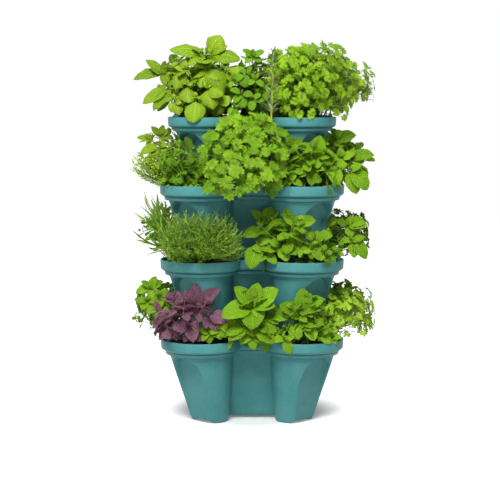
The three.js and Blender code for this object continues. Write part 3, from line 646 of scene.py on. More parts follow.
# %% Loose crumbs on the soil
CRUMB_CORNERS = np.array([[1, 0, 0], [0, 1, 0], [-1, 0, 0], [0, -1, 0], [0, 0, 1], [0, 0, -1]], float)
CRUMB_FACES = np.array([[k, (k + 1) % 4, 4] for k in range(4)] + [[(k + 1) % 4, k, 5] for k in range(4)])
CRUMBS_TRIED, CRUMB_RADII, CRUMB_WALL_GAP = 5200, (1.0, 3.2), 7
CRUMB_RISES, CRUMB_STRETCHES, CRUMB_DENT_SHARE, CRUMB_SEED = (-0.6, 0.8), (0.55, 1.2), 0.22, 50


def soil_crumbs(tier, rng):
    """Lumps with eight faces, each stretched and pushed about at random, strewn over a tier's soil."""
    corners = np.array([corner[:] for corner in cad_nodes[f"{tier}_soil"].bound_box]) / MM
    low, high = corners.min(axis=0), corners.max(axis=0)
    places = rng.uniform(low, high, (CRUMBS_TRIED, 3))
    places[:, 2] = high[2] + rng.uniform(*CRUMB_RISES, CRUMBS_TRIED)
    places = places[way_out(places, tier)[0] < -CRUMB_WALL_GAP]
    count = len(places)
    size = CRUMB_RADII[0] + (CRUMB_RADII[1] - CRUMB_RADII[0]) * rng.uniform(size=(count, 1, 1)) ** 3
    shape = CRUMB_CORNERS * rng.uniform(*CRUMB_STRETCHES, (count, 1, 3))
    shape = shape + CRUMB_DENT_SHARE * rng.normal(size=(count, 6, 3))
    points = (places[:, None] + size * shape).reshape(-1, 3)
    faces = (CRUMB_FACES[None] + 6 * np.arange(count)[:, None, None]).reshape(-1, 3)
    crumbs = make_piece(f"{tier}_soil_crumbs", points, [faces], [potting_mix], sharp_degrees=30)
    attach(crumbs, TIER_BODY[tier])
    return count


for number, tier in enumerate(TIER_NAMES):
    print(tier, "crumbs:", soil_crumbs(tier, np.random.default_rng(CRUMB_SEED + number)))

# %% [markdown]
# ## Building blocks for plants
# Three shapes make every herb here: a blade, which is a thin closed leaf, a fan, which is a toothed
# leaflet, and a rod, which is a stem. All are worked out for hundreds of copies at once. A blade is a
# grid: one parameter runs along its midrib, the other from edge to edge. Its width follows t^a (1-t)^b,
# its midrib is an arc that droops, and its halves fold up or cup. A second grid just underneath, joined
# at the edges, closes it, and a fan is closed the same way.

# %% Batches of points


def join(batches):
    """One batch from several: points and values follow each other, faces count on from the last."""
    offsets = np.cumsum([0] + [len(batch["points"]) for batch in batches[:-1]])
    joined = {key: np.concatenate([batch[key] for batch in batches]) for key in batches[0] if key != "faces"}
    joined["faces"] = np.concatenate([batch["faces"] + offset for batch, offset in zip(batches, offsets)])
    return joined


def copies(points, faces, place, part, rng, young=0, under=0):
    """A batch of copies: points (count, n, 3), one face list, and the values that materials read. Each
    copy draws its own tone."""
    count, each = points.shape[:2]
    values = dict(tone=rng.uniform(0, 1, (count, 1)), young=young, under=under)
    batch = {key: np.broadcast_to(value, (count, each)).ravel() for key, value in values.items()}
    batch["points"] = points.reshape(-1, 3)
    batch["faces"] = (faces + each * np.arange(count)[:, None, None]).reshape(-1, faces.shape[1])
    batch["place"] = np.tile(place, (count, 1))
    batch["part"] = np.full(count * len(faces), part)
    return batch


print("batches ready")

# %% Rods
LEAF_PART, STEM_PART = 0, 1
RING_LEAN = [0.31, 0.53, 0.79]
CURVE_REACH_SHARE = 0.42


def rods(paths, radii, rng, sides=4):
    """Closed rods along paths (count, steps, 3) with radii (count, steps). Each ring is a regular
    polygon about the path's tangent; the ends are capped."""
    count, steps = paths.shape[:2]
    tangent = unit(np.gradient(paths, axis=1))
    across = unit(np.cross(tangent, RING_LEAN))
    other = np.cross(tangent, across)
    angle = 2 * np.pi * np.arange(sides)[:, None] / sides
    ring = across[:, :, None] * np.cos(angle) + other[:, :, None] * np.sin(angle)
    radii = np.broadcast_to(radii, (count, steps))[..., None, None]
    points = (paths[:, :, None] + radii * ring).reshape(count, -1, 3)
    start = np.array([[0, 2 * k + 1, 2 * k, 2 * k - 1] for k in range(1, sides // 2)])
    end = start[:, ::-1] + (steps - 1) * sides
    faces = np.concatenate([grid_faces(steps, sides), start, end])
    along = np.repeat(np.linspace(0, 1, steps), sides)
    place = np.stack([np.full_like(along, 0.5), along], axis=-1)
    return copies(points, faces, place, STEM_PART, rng)


def curve(root, root_way, tip, tip_way, shares):
    """Cubic curves from root to tip that leave along root_way and arrive along tip_way. Returns points
    and unit tangents at the shares of the way."""
    span = np.linalg.norm(tip - root, axis=-1, keepdims=True) * CURVE_REACH_SHARE
    a, b, c, d = (p[:, None] for p in (root, root + root_way * span, tip - tip_way * span, tip))
    t = np.asarray(shares)[:, None]
    points = (1 - t) ** 3 * a + 3 * t * (1 - t) ** 2 * b + 3 * t**2 * (1 - t) * c + t**3 * d
    slope = (1 - t) ** 2 * (b - a) + 2 * t * (1 - t) * (c - b) + t**2 * (d - c)
    return points, unit(slope)


test_rod = rods(np.linspace([[0, 0, 0]], [[0, 0, 9]], 4, axis=1), 1.0, np.random.default_rng(0))
print("a rod has", len(test_rod["faces"]), "faces")

# %% Thin leaves


def sheet_faces(along, across):
    """Two layers of an along by across grid that share their border, as the faces of one closed shell.
    The lower layer's own inner points follow the upper layer's."""
    top = np.arange(along * across).reshape(along, across)
    low = top.copy()
    low[1:-1, 1:-1] = along * across + np.arange((along - 2) * (across - 2)).reshape(along - 2, across - 2)

    def quads(index):
        corners = [index[:-1, :-1], index[:-1, 1:], index[1:, 1:], index[1:, :-1]]
        return np.stack(corners, axis=-1).reshape(-1, 4)

    return np.concatenate([quads(top), quads(low)[:, ::-1]])


def thin_leaves(axes, offsets, turn, t, thickness, young, rng):
    """Leaves from their base, forward and upward axes, and how far each grid point lies ahead, up and
    aside. The upper side faces up, turned forwards by turn, and the lower layer lies a thickness behind."""
    base, along, up = (axis[:, None, None] for axis in axes)
    ahead, rise, aside = (offset[..., None] for offset in offsets)
    surface = base + along * ahead + up * rise + np.cross(along, up) * aside
    normal = up * np.cos(turn)[..., None] + along * np.sin(turn)[..., None]
    lower = (surface - normal * thickness)[:, 1:-1, 1:-1]
    count, rows, columns = surface.shape[:3]
    points = np.concatenate([surface.reshape(count, -1, 3), lower.reshape(count, -1, 3)], axis=1)
    place = np.stack(np.meshgrid(np.linspace(0, 1, columns), t), axis=-1)
    place = np.concatenate([place.reshape(-1, 2), place[1:-1, 1:-1].reshape(-1, 2)])
    under = np.arange(len(place)) >= rows * columns
    return copies(points, sheet_faces(rows, columns), place, LEAF_PART, rng, young[:, None], under)


print("a leaf of 7 by 5 points has", len(sheet_faces(7, 5)), "faces")

# %% Blades
ROW_RANGE, END_SHARE, RIPPLE_WAVES = (0.06, 0.97), 0.004, 2.2
WIDTH_SPREAD, DROOP_SPREAD, FOLD_SPREAD, CURL_SPREAD = 0.1, 0.25, 0.12, 0.07


def outline_of(kind):
    """A kind's rows as shares along the midrib, and its half width there on a leaf of length 1: t^a
    (1-t)^b, made 1 at its widest, times its width. Teeth step out and in from row to row."""
    rows = kind["grid"][0]
    t = (1 - np.cos(np.linspace(*ROW_RANGE, rows) * np.pi)) / 2
    t[0], t[-1] = 0, 1
    a, b = kind["outline"]
    peak = (a / (a + b)) ** a * (b / (a + b)) ** b
    inside = np.clip(t, END_SHARE, 1 - END_SHARE)
    teeth = 1 + kind.get("teeth", 0) * (-1.0) ** np.arange(rows)
    return t, inside**a * (1 - inside) ** b / peak * kind["width"] * teeth


def blades(base, along, up, length, kind, young, rng, wider=1.0):
    """Leaves at base points, pointing along, with their upper sides up. Along the midrib the angle grows
    as droop times t, so the midrib is an arc. Edges lift by the fold, halves puff up by |s|(1-|s|), and
    the edge ripples."""
    shares, half = outline_of(kind)
    one_each = (len(base), 1, 1)
    s = np.linspace(-1, 1, kind["grid"][1])
    widths = 1 + WIDTH_SPREAD * rng.uniform(-1, 1, one_each)
    droop = kind["droop"] + DROOP_SPREAD * rng.normal(size=one_each)
    fold = kind["fold"] + FOLD_SPREAD * rng.normal(size=one_each)
    phase = rng.uniform(0, 2 * np.pi, one_each) + np.pi * (s > 0)
    curl = CURL_SPREAD * rng.normal(size=one_each)
    t, length, edge = shares[:, None], length[:, None, None], abs(s)
    wide = half[:, None] * length * widths * np.reshape(wider, (-1, 1, 1))
    turn = droop * t
    ripple = kind["ripple"] * np.sin(RIPPLE_WAVES * 2 * np.pi * t + phase)
    lift = wide * (edge * np.sin(fold) + kind["puff"] * 4 * edge * (1 - edge) + ripple * edge**2)
    ahead = length * t * np.sinc(turn / np.pi) + lift * np.sin(turn)
    rise = lift * np.cos(turn) - length * t * np.sinc(turn / 2 / np.pi) * np.sin(turn / 2)
    aside = wide * s * np.cos(fold) + curl * length * t**2
    offsets = (ahead, rise, aside)
    return thin_leaves((base, along, up), offsets, turn, shares, kind["thickness"], young, rng)


print("half widths of a narrow blade:", outline_of(dict(grid=(3, 3), outline=(0.5, 0.5), width=0.1))[1])

# %% Fans
FAN_SHARES = np.array([0.5, 0.8, 0.62, 0.93, 0.66, 1.0, 0.66, 0.93, 0.62, 0.8, 0.5])
FAN_ROWS = np.array([0.0, 0.58, 1.0])
FAN_ROOT_SHARE, FAN_WAIST_SHARE, FAN_CUP_SHARE = 0.05, 0.35, 0.6
FAN_OPENING_SPREAD, FAN_REACH_SPREAD, FAN_BOWLS = 0.12, 0.06, (0.7, 1.3)


def fans(base, along, up, length, kind, young, rng):
    """Toothed leaflets. One parameter is the angle across the fan, the other the way out from its stalk.
    The edge's reach alternates between tooth and notch, and the sheet crinkles like a paper fan."""
    count, columns = len(base), len(FAN_SHARES)
    t, length = FAN_ROWS[:, None], length[:, None, None]
    opening = kind["opening"] * (1 + FAN_OPENING_SPREAD * rng.normal(size=(count, 1, 1)))
    reach = (FAN_SHARES + FAN_REACH_SPREAD * rng.normal(size=(count, 1, columns))) * length
    root = FAN_ROOT_SHARE * length
    away = root + t * (reach * (1 - FAN_WAIST_SHARE * (1 - t)) - root)
    angle = np.linspace(-1, 1, columns) * opening
    ahead, aside = away * np.cos(angle), away * np.sin(angle)
    crinkle = kind["crinkle"] * length * t * np.where(np.arange(columns) % 2, 1, -1)
    bowl = kind["droop"] * ahead * t * rng.uniform(*FAN_BOWLS, (count, 1, 1))
    offsets = (ahead, crinkle - bowl + kind["fold"] * abs(aside) * FAN_CUP_SHARE, aside)
    no_turn = np.zeros((1, 1, 1))
    return thin_leaves((base, along, up), offsets, no_turn, FAN_ROWS, kind["thickness"], young, rng)


print("a fan has", len(sheet_faces(len(FAN_ROWS), len(FAN_SHARES))), "faces")

# %% [markdown]
# ## Leaves, by kind of herb
# Living leaves are waxy on top, paler and duller underneath, and glow a little where light comes through.
# Each kind gets its own greens. The pattern follows the leaf: a pale midrib and slanting side veins are
# drawn from the blade's own map, each leaf has its own tone, and young leaves at a shoot's tip are lighter.

# %% Leaf finishes
LEAF_MOTTLE_MM, VEIN_SLANT, UNDER_PALE_SHARE = 6, -0.7, 0.35
SIDE_VEIN = {"From Min": 0.0, "From Max": 0.12, "To Min": 0.3, "To Max": 0.0}
MIDRIB = {"From Min": 0.012, "From Max": 0.04, "To Min": 0.5, "To Max": 0.0}
LEAF_TONES = {"From Max": 2.0, "To Min": 0.64, "To Max": 1.36}
LEAF_BODY = {"IOR": 1.42, "Specular IOR Level": 0.14, "Subsurface Weight": 0.25}
LEAF_GLOW = {"Subsurface Radius": (0.6, 1.0, 0.15), "Subsurface Scale": 0.002}


def leaf_finish(name, mature, young, vein, roughness, veins, quilt):
    """A leaf's skin. The vein pattern is a saw of the way along minus the way across, times the number
    of veins; near its whole values it is a vein, and between them the leaf bulges by the quilt."""
    material, tree = start_material(name)
    place = add(tree, "UVMap", uv_map="leaf_place")
    along = add(tree, "SeparateXYZ", {0: place}, "Y")
    off = add(tree, "Math", {0: along.node.outputs["X"], 1: 0.5}, operation="SUBTRACT")
    across = add(tree, "Math", {0: off}, operation="ABSOLUTE")
    slant = add(tree, "Math", {0: across, 1: VEIN_SLANT, 2: along}, operation="MULTIPLY_ADD")
    saw = add(tree, "Math", {0: slant, 1: float(veins)}, operation="MULTIPLY")
    wave = add(tree, "Math", {0: saw, 1: 0.5}, operation="PINGPONG")
    side_vein = add(tree, "MapRange", {"Value": wave, **SIDE_VEIN})
    midrib = add(tree, "MapRange", {"Value": across, **MIDRIB})
    lines = add(tree, "Math", {0: side_vein, 1: midrib}, operation="MAXIMUM")
    values = [add(tree, "Attribute", out="Fac", attribute_name=key) for key in ("tone", "young", "under")]
    tone, fresh, under = values
    spot = add(tree, "TexCoord", out="Object")
    mottle = add(tree, "TexNoise", {"Vector": spot, "Scale": 1 / (LEAF_MOTTLE_MM * MM), "Detail": 3.0})
    greens = {"Factor": fresh, "A": linear(mature), "B": linear(young)}
    green = add(tree, "Mix", greens, 2, data_type="RGBA")
    mixed_tone = add(tree, "Math", {0: tone, 1: mottle}, operation="ADD")
    value = add(tree, "MapRange", {"Value": mixed_tone, **LEAF_TONES})
    colour = add(tree, "HueSaturation", {"Color": green, "Value": value})
    pale = add(tree, "Math", {0: under, 1: UNDER_PALE_SHARE}, operation="MULTIPLY")
    for cover in (pale, lines):
        colour = add(tree, "Mix", {"Factor": cover, "A": colour, "B": linear(vein)}, 2, data_type="RGBA")
    relief = add(tree, "Math", {0: wave, 1: midrib}, operation="SUBTRACT")
    bump = add(tree, "Bump", {"Height": relief, "Strength": quilt, "Distance": 0.003})
    sockets = {"Base Color": colour, "Roughness": roughness, "Normal": bump, **LEAF_BODY, **LEAF_GLOW}
    add(tree, "OutputMaterial", {"Surface": add(tree, "BsdfPrincipled", sockets)})
    return material


print("leaf mottling:", LEAF_MOTTLE_MM, "mm")

# %% Stem finishes
STEM_MOTTLE_MM = 3
STEM_TONES = {"To Min": 0.7, "To Max": 1.3}


def stem_finish(name, colour, tip_colour):
    """A stem's skin: one green that turns to another towards the tip, with a fine mottling."""
    material, tree = start_material(name)
    spot = add(tree, "TexCoord", out="Object")
    mottle = add(tree, "TexNoise", {"Vector": spot, "Scale": 1 / (STEM_MOTTLE_MM * MM), "Detail": 3.0})
    along = add(tree, "SeparateXYZ", {0: add(tree, "UVMap", uv_map="leaf_place")}, "Y")
    tints = {"Factor": along, "A": linear(colour), "B": linear(tip_colour)}
    mixed = add(tree, "Mix", tints, 2, data_type="RGBA")
    value = add(tree, "MapRange", {"Value": mottle, **STEM_TONES})
    varied = add(tree, "HueSaturation", {"Color": mixed, "Value": value})
    bump = add(tree, "Bump", {"Height": mottle, "Strength": 0.3, "Distance": 0.0005})
    sockets = {"Base Color": varied, "Roughness": 0.5, "Normal": bump, "IOR": 1.42}
    add(tree, "OutputMaterial", {"Surface": add(tree, "BsdfPrincipled", sockets)})
    return material


GREEN_STEM = stem_finish("herb_stem_green", "#587420", "#76982c")
PURPLE_STEM = stem_finish("herb_stem_purple", "#6c4a52", "#7d5560")
WOODY_STEM = stem_finish("rosemary_stem_young", "#989c40", "#b4b83c")
print("stems ready")

# %% The kinds of herb with paired leaves
# Levels are leaf pairs: their share of the way up the stem, their relative size and how wide they open
PAIRED = dict(grid=(9, 5), thickness=0.4, stem=GREEN_STEM)
KINDS = {
    "basil": dict(
        PAIRED, grid=(9, 7), thickness=0.5, size=50, petiole=0.14,
        outline=(0.5, 0.64), width=0.48, droop=0.9, fold=-0.25, puff=0.16, ripple=0.08,
        levels=[(1.0, 0.30, 18), (0.97, 0.62, 42), (0.86, 1.0, 72), (0.7, 1.0, 92)],
        leaf=leaf_finish("basil_leaf_glossy", "#6f910d", "#8aa924", "#a0ba4c", 0.36, 8, 0.35),
    ),
    "mint": dict(
        PAIRED, size=36, petiole=0.08,
        outline=(0.5, 0.7), width=0.39, droop=0.55, fold=0.22, puff=0.1, ripple=0.1, teeth=0.035,
        levels=[(1.0, 0.35, 22), (0.97, 0.7, 46), (0.88, 1.0, 70), (0.74, 0.95, 86), (0.58, 0.85, 96)],
        leaf=leaf_finish("mint_leaf_wrinkled", "#6a9614", "#86b228", "#94ba42", 0.5, 9, 0.6),
    ),
    "pale_mint": dict(
        PAIRED, size=38, petiole=0.05,
        outline=(0.6, 0.8), width=0.27, droop=0.3, fold=0.3, puff=0.06, ripple=0.08, teeth=0.02,
        levels=[(1.0, 0.4, 25), (0.96, 0.75, 50), (0.84, 1.0, 72), (0.66, 1.0, 88), (0.46, 0.85, 100)],
        leaf=leaf_finish("apple_mint_leaf", "#6d8d14", "#88a22a", "#9cb256", 0.5, 9, 0.5),
    ),
    "purple_basil": dict(
        PAIRED, thickness=0.5, size=50, petiole=0.12, stem=PURPLE_STEM,
        outline=(0.55, 0.75), width=0.36, droop=0.45, fold=0.28, puff=0.08, ripple=0.1, teeth=0.02,
        levels=[(1.0, 0.3, 20), (0.97, 0.62, 40), (0.9, 0.95, 62), (0.8, 1.05, 80), (0.66, 0.95, 96)],
        leaf=leaf_finish("purple_basil_leaf", "#744c60", "#845a66", "#947080", 0.45, 8, 0.5),
    ),
    "round": dict(
        PAIRED, grid=(7, 5), size=22, petiole=0.12,
        outline=(0.5, 0.55), width=0.42, droop=0.4, fold=0.2, puff=0.08, ripple=0.05,
        levels=[(1.0, 0.4, 20), (0.95, 0.75, 48), (0.82, 1.0, 68), (0.66, 1.0, 84), (0.48, 0.9, 96)],
        leaf=leaf_finish("oregano_leaf_matt", "#57840e", "#76a01e", "#88ac42", 0.58, 5, 0.4),
    ),
}
print("kinds:", ", ".join(KINDS))

# %% [markdown]
# ## Shoots
# Basil, mint, sage and oregano grow leaves in pairs, each pair turned a quarter from the last, small and
# upright at the tip, larger and wider open below. A shoot is a curved stem from the root to its tip, and
# its leaf pairs stand at set shares of the way.

# %% Shoots with paired leaves
UPRIGHT, LEVEL_ONLY = np.array([0, 0, 1.0]), np.array([1, 1, 0])
STEM_STEPS = 9
STEM_SHARES = np.linspace(0, 1, STEM_STEPS)
RISE_SPREAD, ROLL_SPREAD, OPENING_SPREAD, LENGTH_SPREAD = 0.25, 0.18, 0.16, 0.1
STEM_TIP_SHARE, LEAF_START_SHARE, YOUNG_POWER, NEARLY_UPRIGHT = 0.4, 0.6, 1.5, 0.9
SHOOT_STALK = dict(along=[-0.2, 0.5, 1.08], share=0.022, least=0, taper=[1.1, 0.9, 0.7])


def frame_of(way):
    """Two unit vectors square to each way and to each other."""
    helper = np.where(abs(way[..., 2:]) < NEARLY_UPRIGHT, [0.0, 0, 1], [0.0, 1, 0])
    first = unit(np.cross(helper, way))
    return first, np.cross(way, first)


def leaning(way, roll, lean):
    """Leaf directions about stems. A leaf at lean q and roll p points along way cos q + (first cos p +
    second sin p) sin q, and its upper side faces way sin q minus the same level vector times cos q."""
    first, second = frame_of(way)
    level_way = first * np.cos(roll)[..., None] + second * np.sin(roll)[..., None]
    cos, sin = np.cos(lean)[..., None], np.sin(lean)[..., None]
    return way * cos + level_way * sin, way * sin - level_way * cos


def rising(count, spread, rng):
    """Unit vectors that rise nearly upright, each leaning at random."""
    return unit(UPRIGHT + spread * rng.normal(size=(count, 3)) * LEVEL_ONLY)


def stalked_leaves(base, along, up, length, kind, young, rng, stalk, wider=1.0):
    """Blades and the short stalks that carry them. A stalk's radius is a share of the leaf's length and
    a least radius, and it runs from a little behind the base to a little into the blade."""
    petiole = length * kind["petiole"]
    paths = base[:, None] + (along * petiole[:, None])[:, None] * np.array(stalk["along"])[:, None]
    radii = (stalk["share"] * length + stalk["least"])[:, None] * stalk["taper"]
    stalks = rods(paths, radii, rng)
    foot = base + along * petiole[:, None]
    return blades(foot, along, up, length - petiole, kind, young, rng, wider), stalks


def shoots(roots, tips, ways, sizes, kind, rng, stem_radius=1.3):
    """Stems from roots to tips that end along ways, with opposite leaves, each pair turned a quarter
    from the last."""
    shares, relative, openings = np.array(kind["levels"]).T
    count, pairs = len(tips), len(shares)
    roll = rng.uniform(0, np.pi, (count, 1, 1)) + np.pi / 2 * np.arange(pairs)[:, None] + [0, np.pi]
    rises = rising(count, RISE_SPREAD, rng)
    stem_points, _ = curve(roots, rises, tips, ways, STEM_SHARES)
    stems = rods(stem_points, stem_radius * np.linspace(1, STEM_TIP_SHARE, STEM_STEPS), rng, sides=6)
    at, way = curve(roots, rises, tips, ways, shares)
    roll = roll + ROLL_SPREAD * rng.normal(size=roll.shape)
    opening = np.radians(openings)[:, None] + OPENING_SPREAD * rng.normal(size=roll.shape)
    along, up = leaning(way[:, :, None], roll, opening)
    longer = 1 + LENGTH_SPREAD * rng.normal(size=roll.shape)
    length = (sizes[:, None, None] * relative[:, None] * longer).ravel()
    base = at[:, :, None] + along * stem_radius * LEAF_START_SHARE
    young = np.broadcast_to(np.linspace(1, 0, pairs)[:, None] ** YOUNG_POWER, roll.shape).ravel()
    base, along, up = (vectors.reshape(-1, 3) for vectors in (base, along, up))
    leaves, stalks = stalked_leaves(base, along, up, length, kind, young, rng, SHOOT_STALK)
    return [leaves, stems, stalks]


print("shoots ready")

# %% Where a clump grows
INNER_GROWTH_MM, NECK_HEIGHT_MM, FOOT_SLICE_MM = 16, 22, 1


def tier_of(node):
    """The tier that a node's name begins with."""
    return node.split("_")[0]


def mound_of(node):
    """Where a clump grows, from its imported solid: the middle of the foot of its neck, and the lowest and
    highest corners of its leaves above the rim, in millimetres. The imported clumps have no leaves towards
    the tower, so the box grows on that side, and half as much to either side of it."""
    mesh = cad_nodes[node].data
    points = np.empty(3 * len(mesh.vertices), np.float32)
    mesh.vertices.foreach_get("co", points)
    points = points.reshape(-1, 3) / MM
    bottom = points[:, 2].min()
    root = points[points[:, 2] < bottom + FOOT_SLICE_MM].mean(axis=0)
    leaves = points[points[:, 2] > bottom + NECK_HEIGHT_MM]
    low, high = leaves.min(axis=0), leaves.max(axis=0)
    inwards = -unit((low + high) * LEVEL_ONLY)
    low -= INNER_GROWTH_MM / 2 * LEVEL_ONLY * (1 - np.clip(inwards, -1, 0))
    high += INNER_GROWTH_MM / 2 * LEVEL_ONLY * (1 + np.clip(inwards, 0, 1))
    return root, low, high


GOLDEN_ANGLE = math.pi * (3 - math.sqrt(5))


def spiral_ways(count, low_rise):
    """count unit vectors spread evenly over a dome: steps of the golden angle, rises from low_rise to 1."""
    index = np.arange(count) + 0.5
    rise = 1 - index / count * (1 - low_rise)
    turn = index * GOLDEN_ANGLE
    level_share = np.sqrt(1 - rise**2)
    return np.stack([level_share * np.cos(turn), level_share * np.sin(turn), rise], axis=-1)


HANG_OUT_MM, HANG_ABOVE_MM = 8, 22
POT_ABOVE_GAP_MM, POT_ABOVE_UNDER_MM = 8, 4
REACH_SPREAD, UPWARD_SHARE = 0.06, 0.45
LOW_CLUMP_SHARES = dict(bottom_chervil=0.7, second_parsley=0.7, bottom_lemon_balm=0.7)
DOME = dict(lift=0, scatter=0.15, power=2.5, hang=False, outwards=0)


def fill_places(node, count, low_rise, inset, rng, dome=DOME):
    """Tips and ways for a clump's own shoots, clear of the pot above, and hanging beside the own one or not.
    They lie over an ellipsoid with fuller corners: each way (x, y, z) is divided by (|x|^p + |y|^p +
    |z|^p)^(1/p). Its middle is lifted by a share of the clump's height, and the whole may be less tall than
    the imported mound. The ways lean outwards from the tower by a share."""
    tier, power, lift = tier_of(node), dome["power"], dome["lift"]
    root, low, high = mound_of(node)
    middle, half = (low + high) / 2, (high - low) / 2 * [1, 1, LOW_CLUMP_SHARES.get(node, 1)]
    foot = np.array([middle[0], middle[1], low[2] + 2 * lift * half[2]])
    radii = half * [1, 1, 2 * (1 - lift)] * inset
    ways = spiral_ways(count, low_rise)
    full_ways = ways / (abs(ways) ** power).sum(axis=-1, keepdims=True) ** (1 / power)
    tips = foot + full_ways * radii * (1 + REACH_SPREAD * rng.normal(size=(count, 1)))
    away = UPRIGHT * UPWARD_SHARE + unit(ways / radii) + dome["scatter"] * rng.normal(size=(count, 3))
    away = away + dome["outwards"] * unit(root * LEVEL_ONLY)
    above_rim = tips[:, 2] > RIM_Z[tier] + HANG_ABOVE_MM
    keep = dome["hang"] | (way_out(tips, tier)[0] < HANG_OUT_MM) | above_rim
    above = TIER_ABOVE.get(tier)
    if above:
        beneath = tips[:, 2] < TIER_Z[above] - POT_ABOVE_UNDER_MM
        keep &= (way_out(tips, above)[0] > POT_ABOVE_GAP_MM) | beneath
    return root, tips[keep], unit(away)[keep]


print("root of the top basil:", mound_of("top_basil")[0].round(1))

# %% Joining a clump into one piece
TOWER_BOX_MM = np.array(cad_bounds) / MM
ROOM_PAST_BOX_MM, DRAWN_IN_SHARE = 2, 0.2


def draw_in(points):
    """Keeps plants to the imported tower's box: what lies further out than a little past one of its sides
    keeps only a share of the rest of its way."""
    kept = np.clip(points, TOWER_BOX_MM[0] - ROOM_PAST_BOX_MM, TOWER_BOX_MM[1] + ROOM_PAST_BOX_MM)
    return kept + (points - kept) * DRAWN_IN_SHARE


def make_plant(node, pieces, kind):
    """Joins a clump's batches into one mesh that stands for its packed mound and rides on its tier."""
    tier, whole = tier_of(node), join(pieces)
    points = draw_in(keep_clear(whole["points"], tier))
    finishes = [kind["leaf"], kind["stem"]]
    plant = make_piece(f"{node}_leaves", points, [whole["faces"]], finishes, whole["part"], sharp_degrees=80)
    mesh = plant.data
    corner_points = np.empty(len(mesh.loops), np.int32)
    mesh.loops.foreach_get("vertex_index", corner_points)
    layer = mesh.uv_layers.new(name="leaf_place")
    layer.uv.foreach_set("vector", whole["place"][corner_points].astype(np.float32).ravel())
    for key in ("tone", "young", "under"):
        mesh.attributes.new(key, "FLOAT", "POINT").data.foreach_set("value", whole[key].astype(np.float32))
    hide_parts(node)
    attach(plant, TIER_BODY[tier])
    return len(whole["faces"])


print("room for plants from", TOWER_BOX_MM[0], "to", TOWER_BOX_MM[1], "mm")

# %% [markdown]
# ## The leaves that face the photograph
# The large leaves of basil, mint, sage and oregano give each clump its outline, so the ones that face the
# front are placed one by one. Each shoot has its place in millimetres, and each leaf three numbers: its
# turn clockwise from upright as seen from the front, its length with its stalk, and its lean to the front.
# A fourth number, where there is one, widens or narrows the leaf.

# %% Placed leaves of the top tier
PLACED = {}
PLACED["top_basil"] = [
    (
        (-77, -80, 662),
        [(-86, 73, 5, 0.58), (31, 43, 5, 1.3), (104, 61, 12, 0.74), (-131, 49, 25, 0.6), (72, 40, 20, 0.7)],
    ),
    ((-78, -100, 640), [(-160, 45, 20, 0.85), (152, 58, 20, 0.9), (-83, 27, 20)]),
    ((-119, -100, 637), [(-157, 46, 20, 0.8), (-12, 18, 5), (-90, 20, 30)]),
    ((-114, -125, 607), [(179, 38, 25)]),
    ((-79, -120, 603), [(172, 44, 25, 1.1), (115, 39, 30)]),
    ((-55, -105, 591), [(-161, 44, 10), (153, 29, 25)]),
    ((-99, -135, 584), [(180, 47, 15, 0.9)]),
    ((-137, -120, 581), [(164, 30, 20), (-157, 24, 20), (94, 25, 35)]),
    ((-46, -90, 637), [(105, 32, 10, 0.8), (148, 35, 20, 0.8)]),
]
PLACED["top_mint"] = [
    ((-161, -70, 627), [(-97, 52, 5), (-46, 39, 5), (20, 29, 5), (70, 45, 5), (165, 30, 40), (-65, 24, 30)]),
    ((-151, -85, 602), [(-123, 53, 8), (-161, 51, 12), (45, 24, 20), (149, 28, 25)]),
    ((-150, -75, 636), [(77, 32, 10), (12, 15, 10)]),
]
PLACED["top_oregano"] = [
    ((1, -85, 657), [(-59, 23, 8), (63, 24, 8), (2, 16, 5), (-123, 18, 25), (114, 19, 20)]),
    ((-12, -105, 629), [(-122, 23, 15), (-54, 16, 10), (62, 18, 15), (-178, 27, 25)]),
    ((6, -115, 618), [(135, 19, 15), (-131, 16, 20), (36, 14, 10), (-43, 13, 12)]),
    ((-19, -120, 592), [(-70, 22, 12), (172, 26, 20), (101, 22, 15), (-140, 21, 20)]),
    ((2, -120, 583), [(109, 20, 15), (-168, 22, 25), (53, 17, 12)]),
    ((-33, -125, 569), [(-138, 15, 15), (166, 22, 20), (71, 14, 12)]),
    ((21, -105, 596), [(163, 17, 15), (-53, 12, 12), (31, 14, 10)]),
    ((-31, -105, 615), [(-135, 15, 15), (-21, 15, 12), (110, 10, 15)]),
]
print("placed shoots on the top tier:", sum(len(rows) for rows in PLACED.values()))

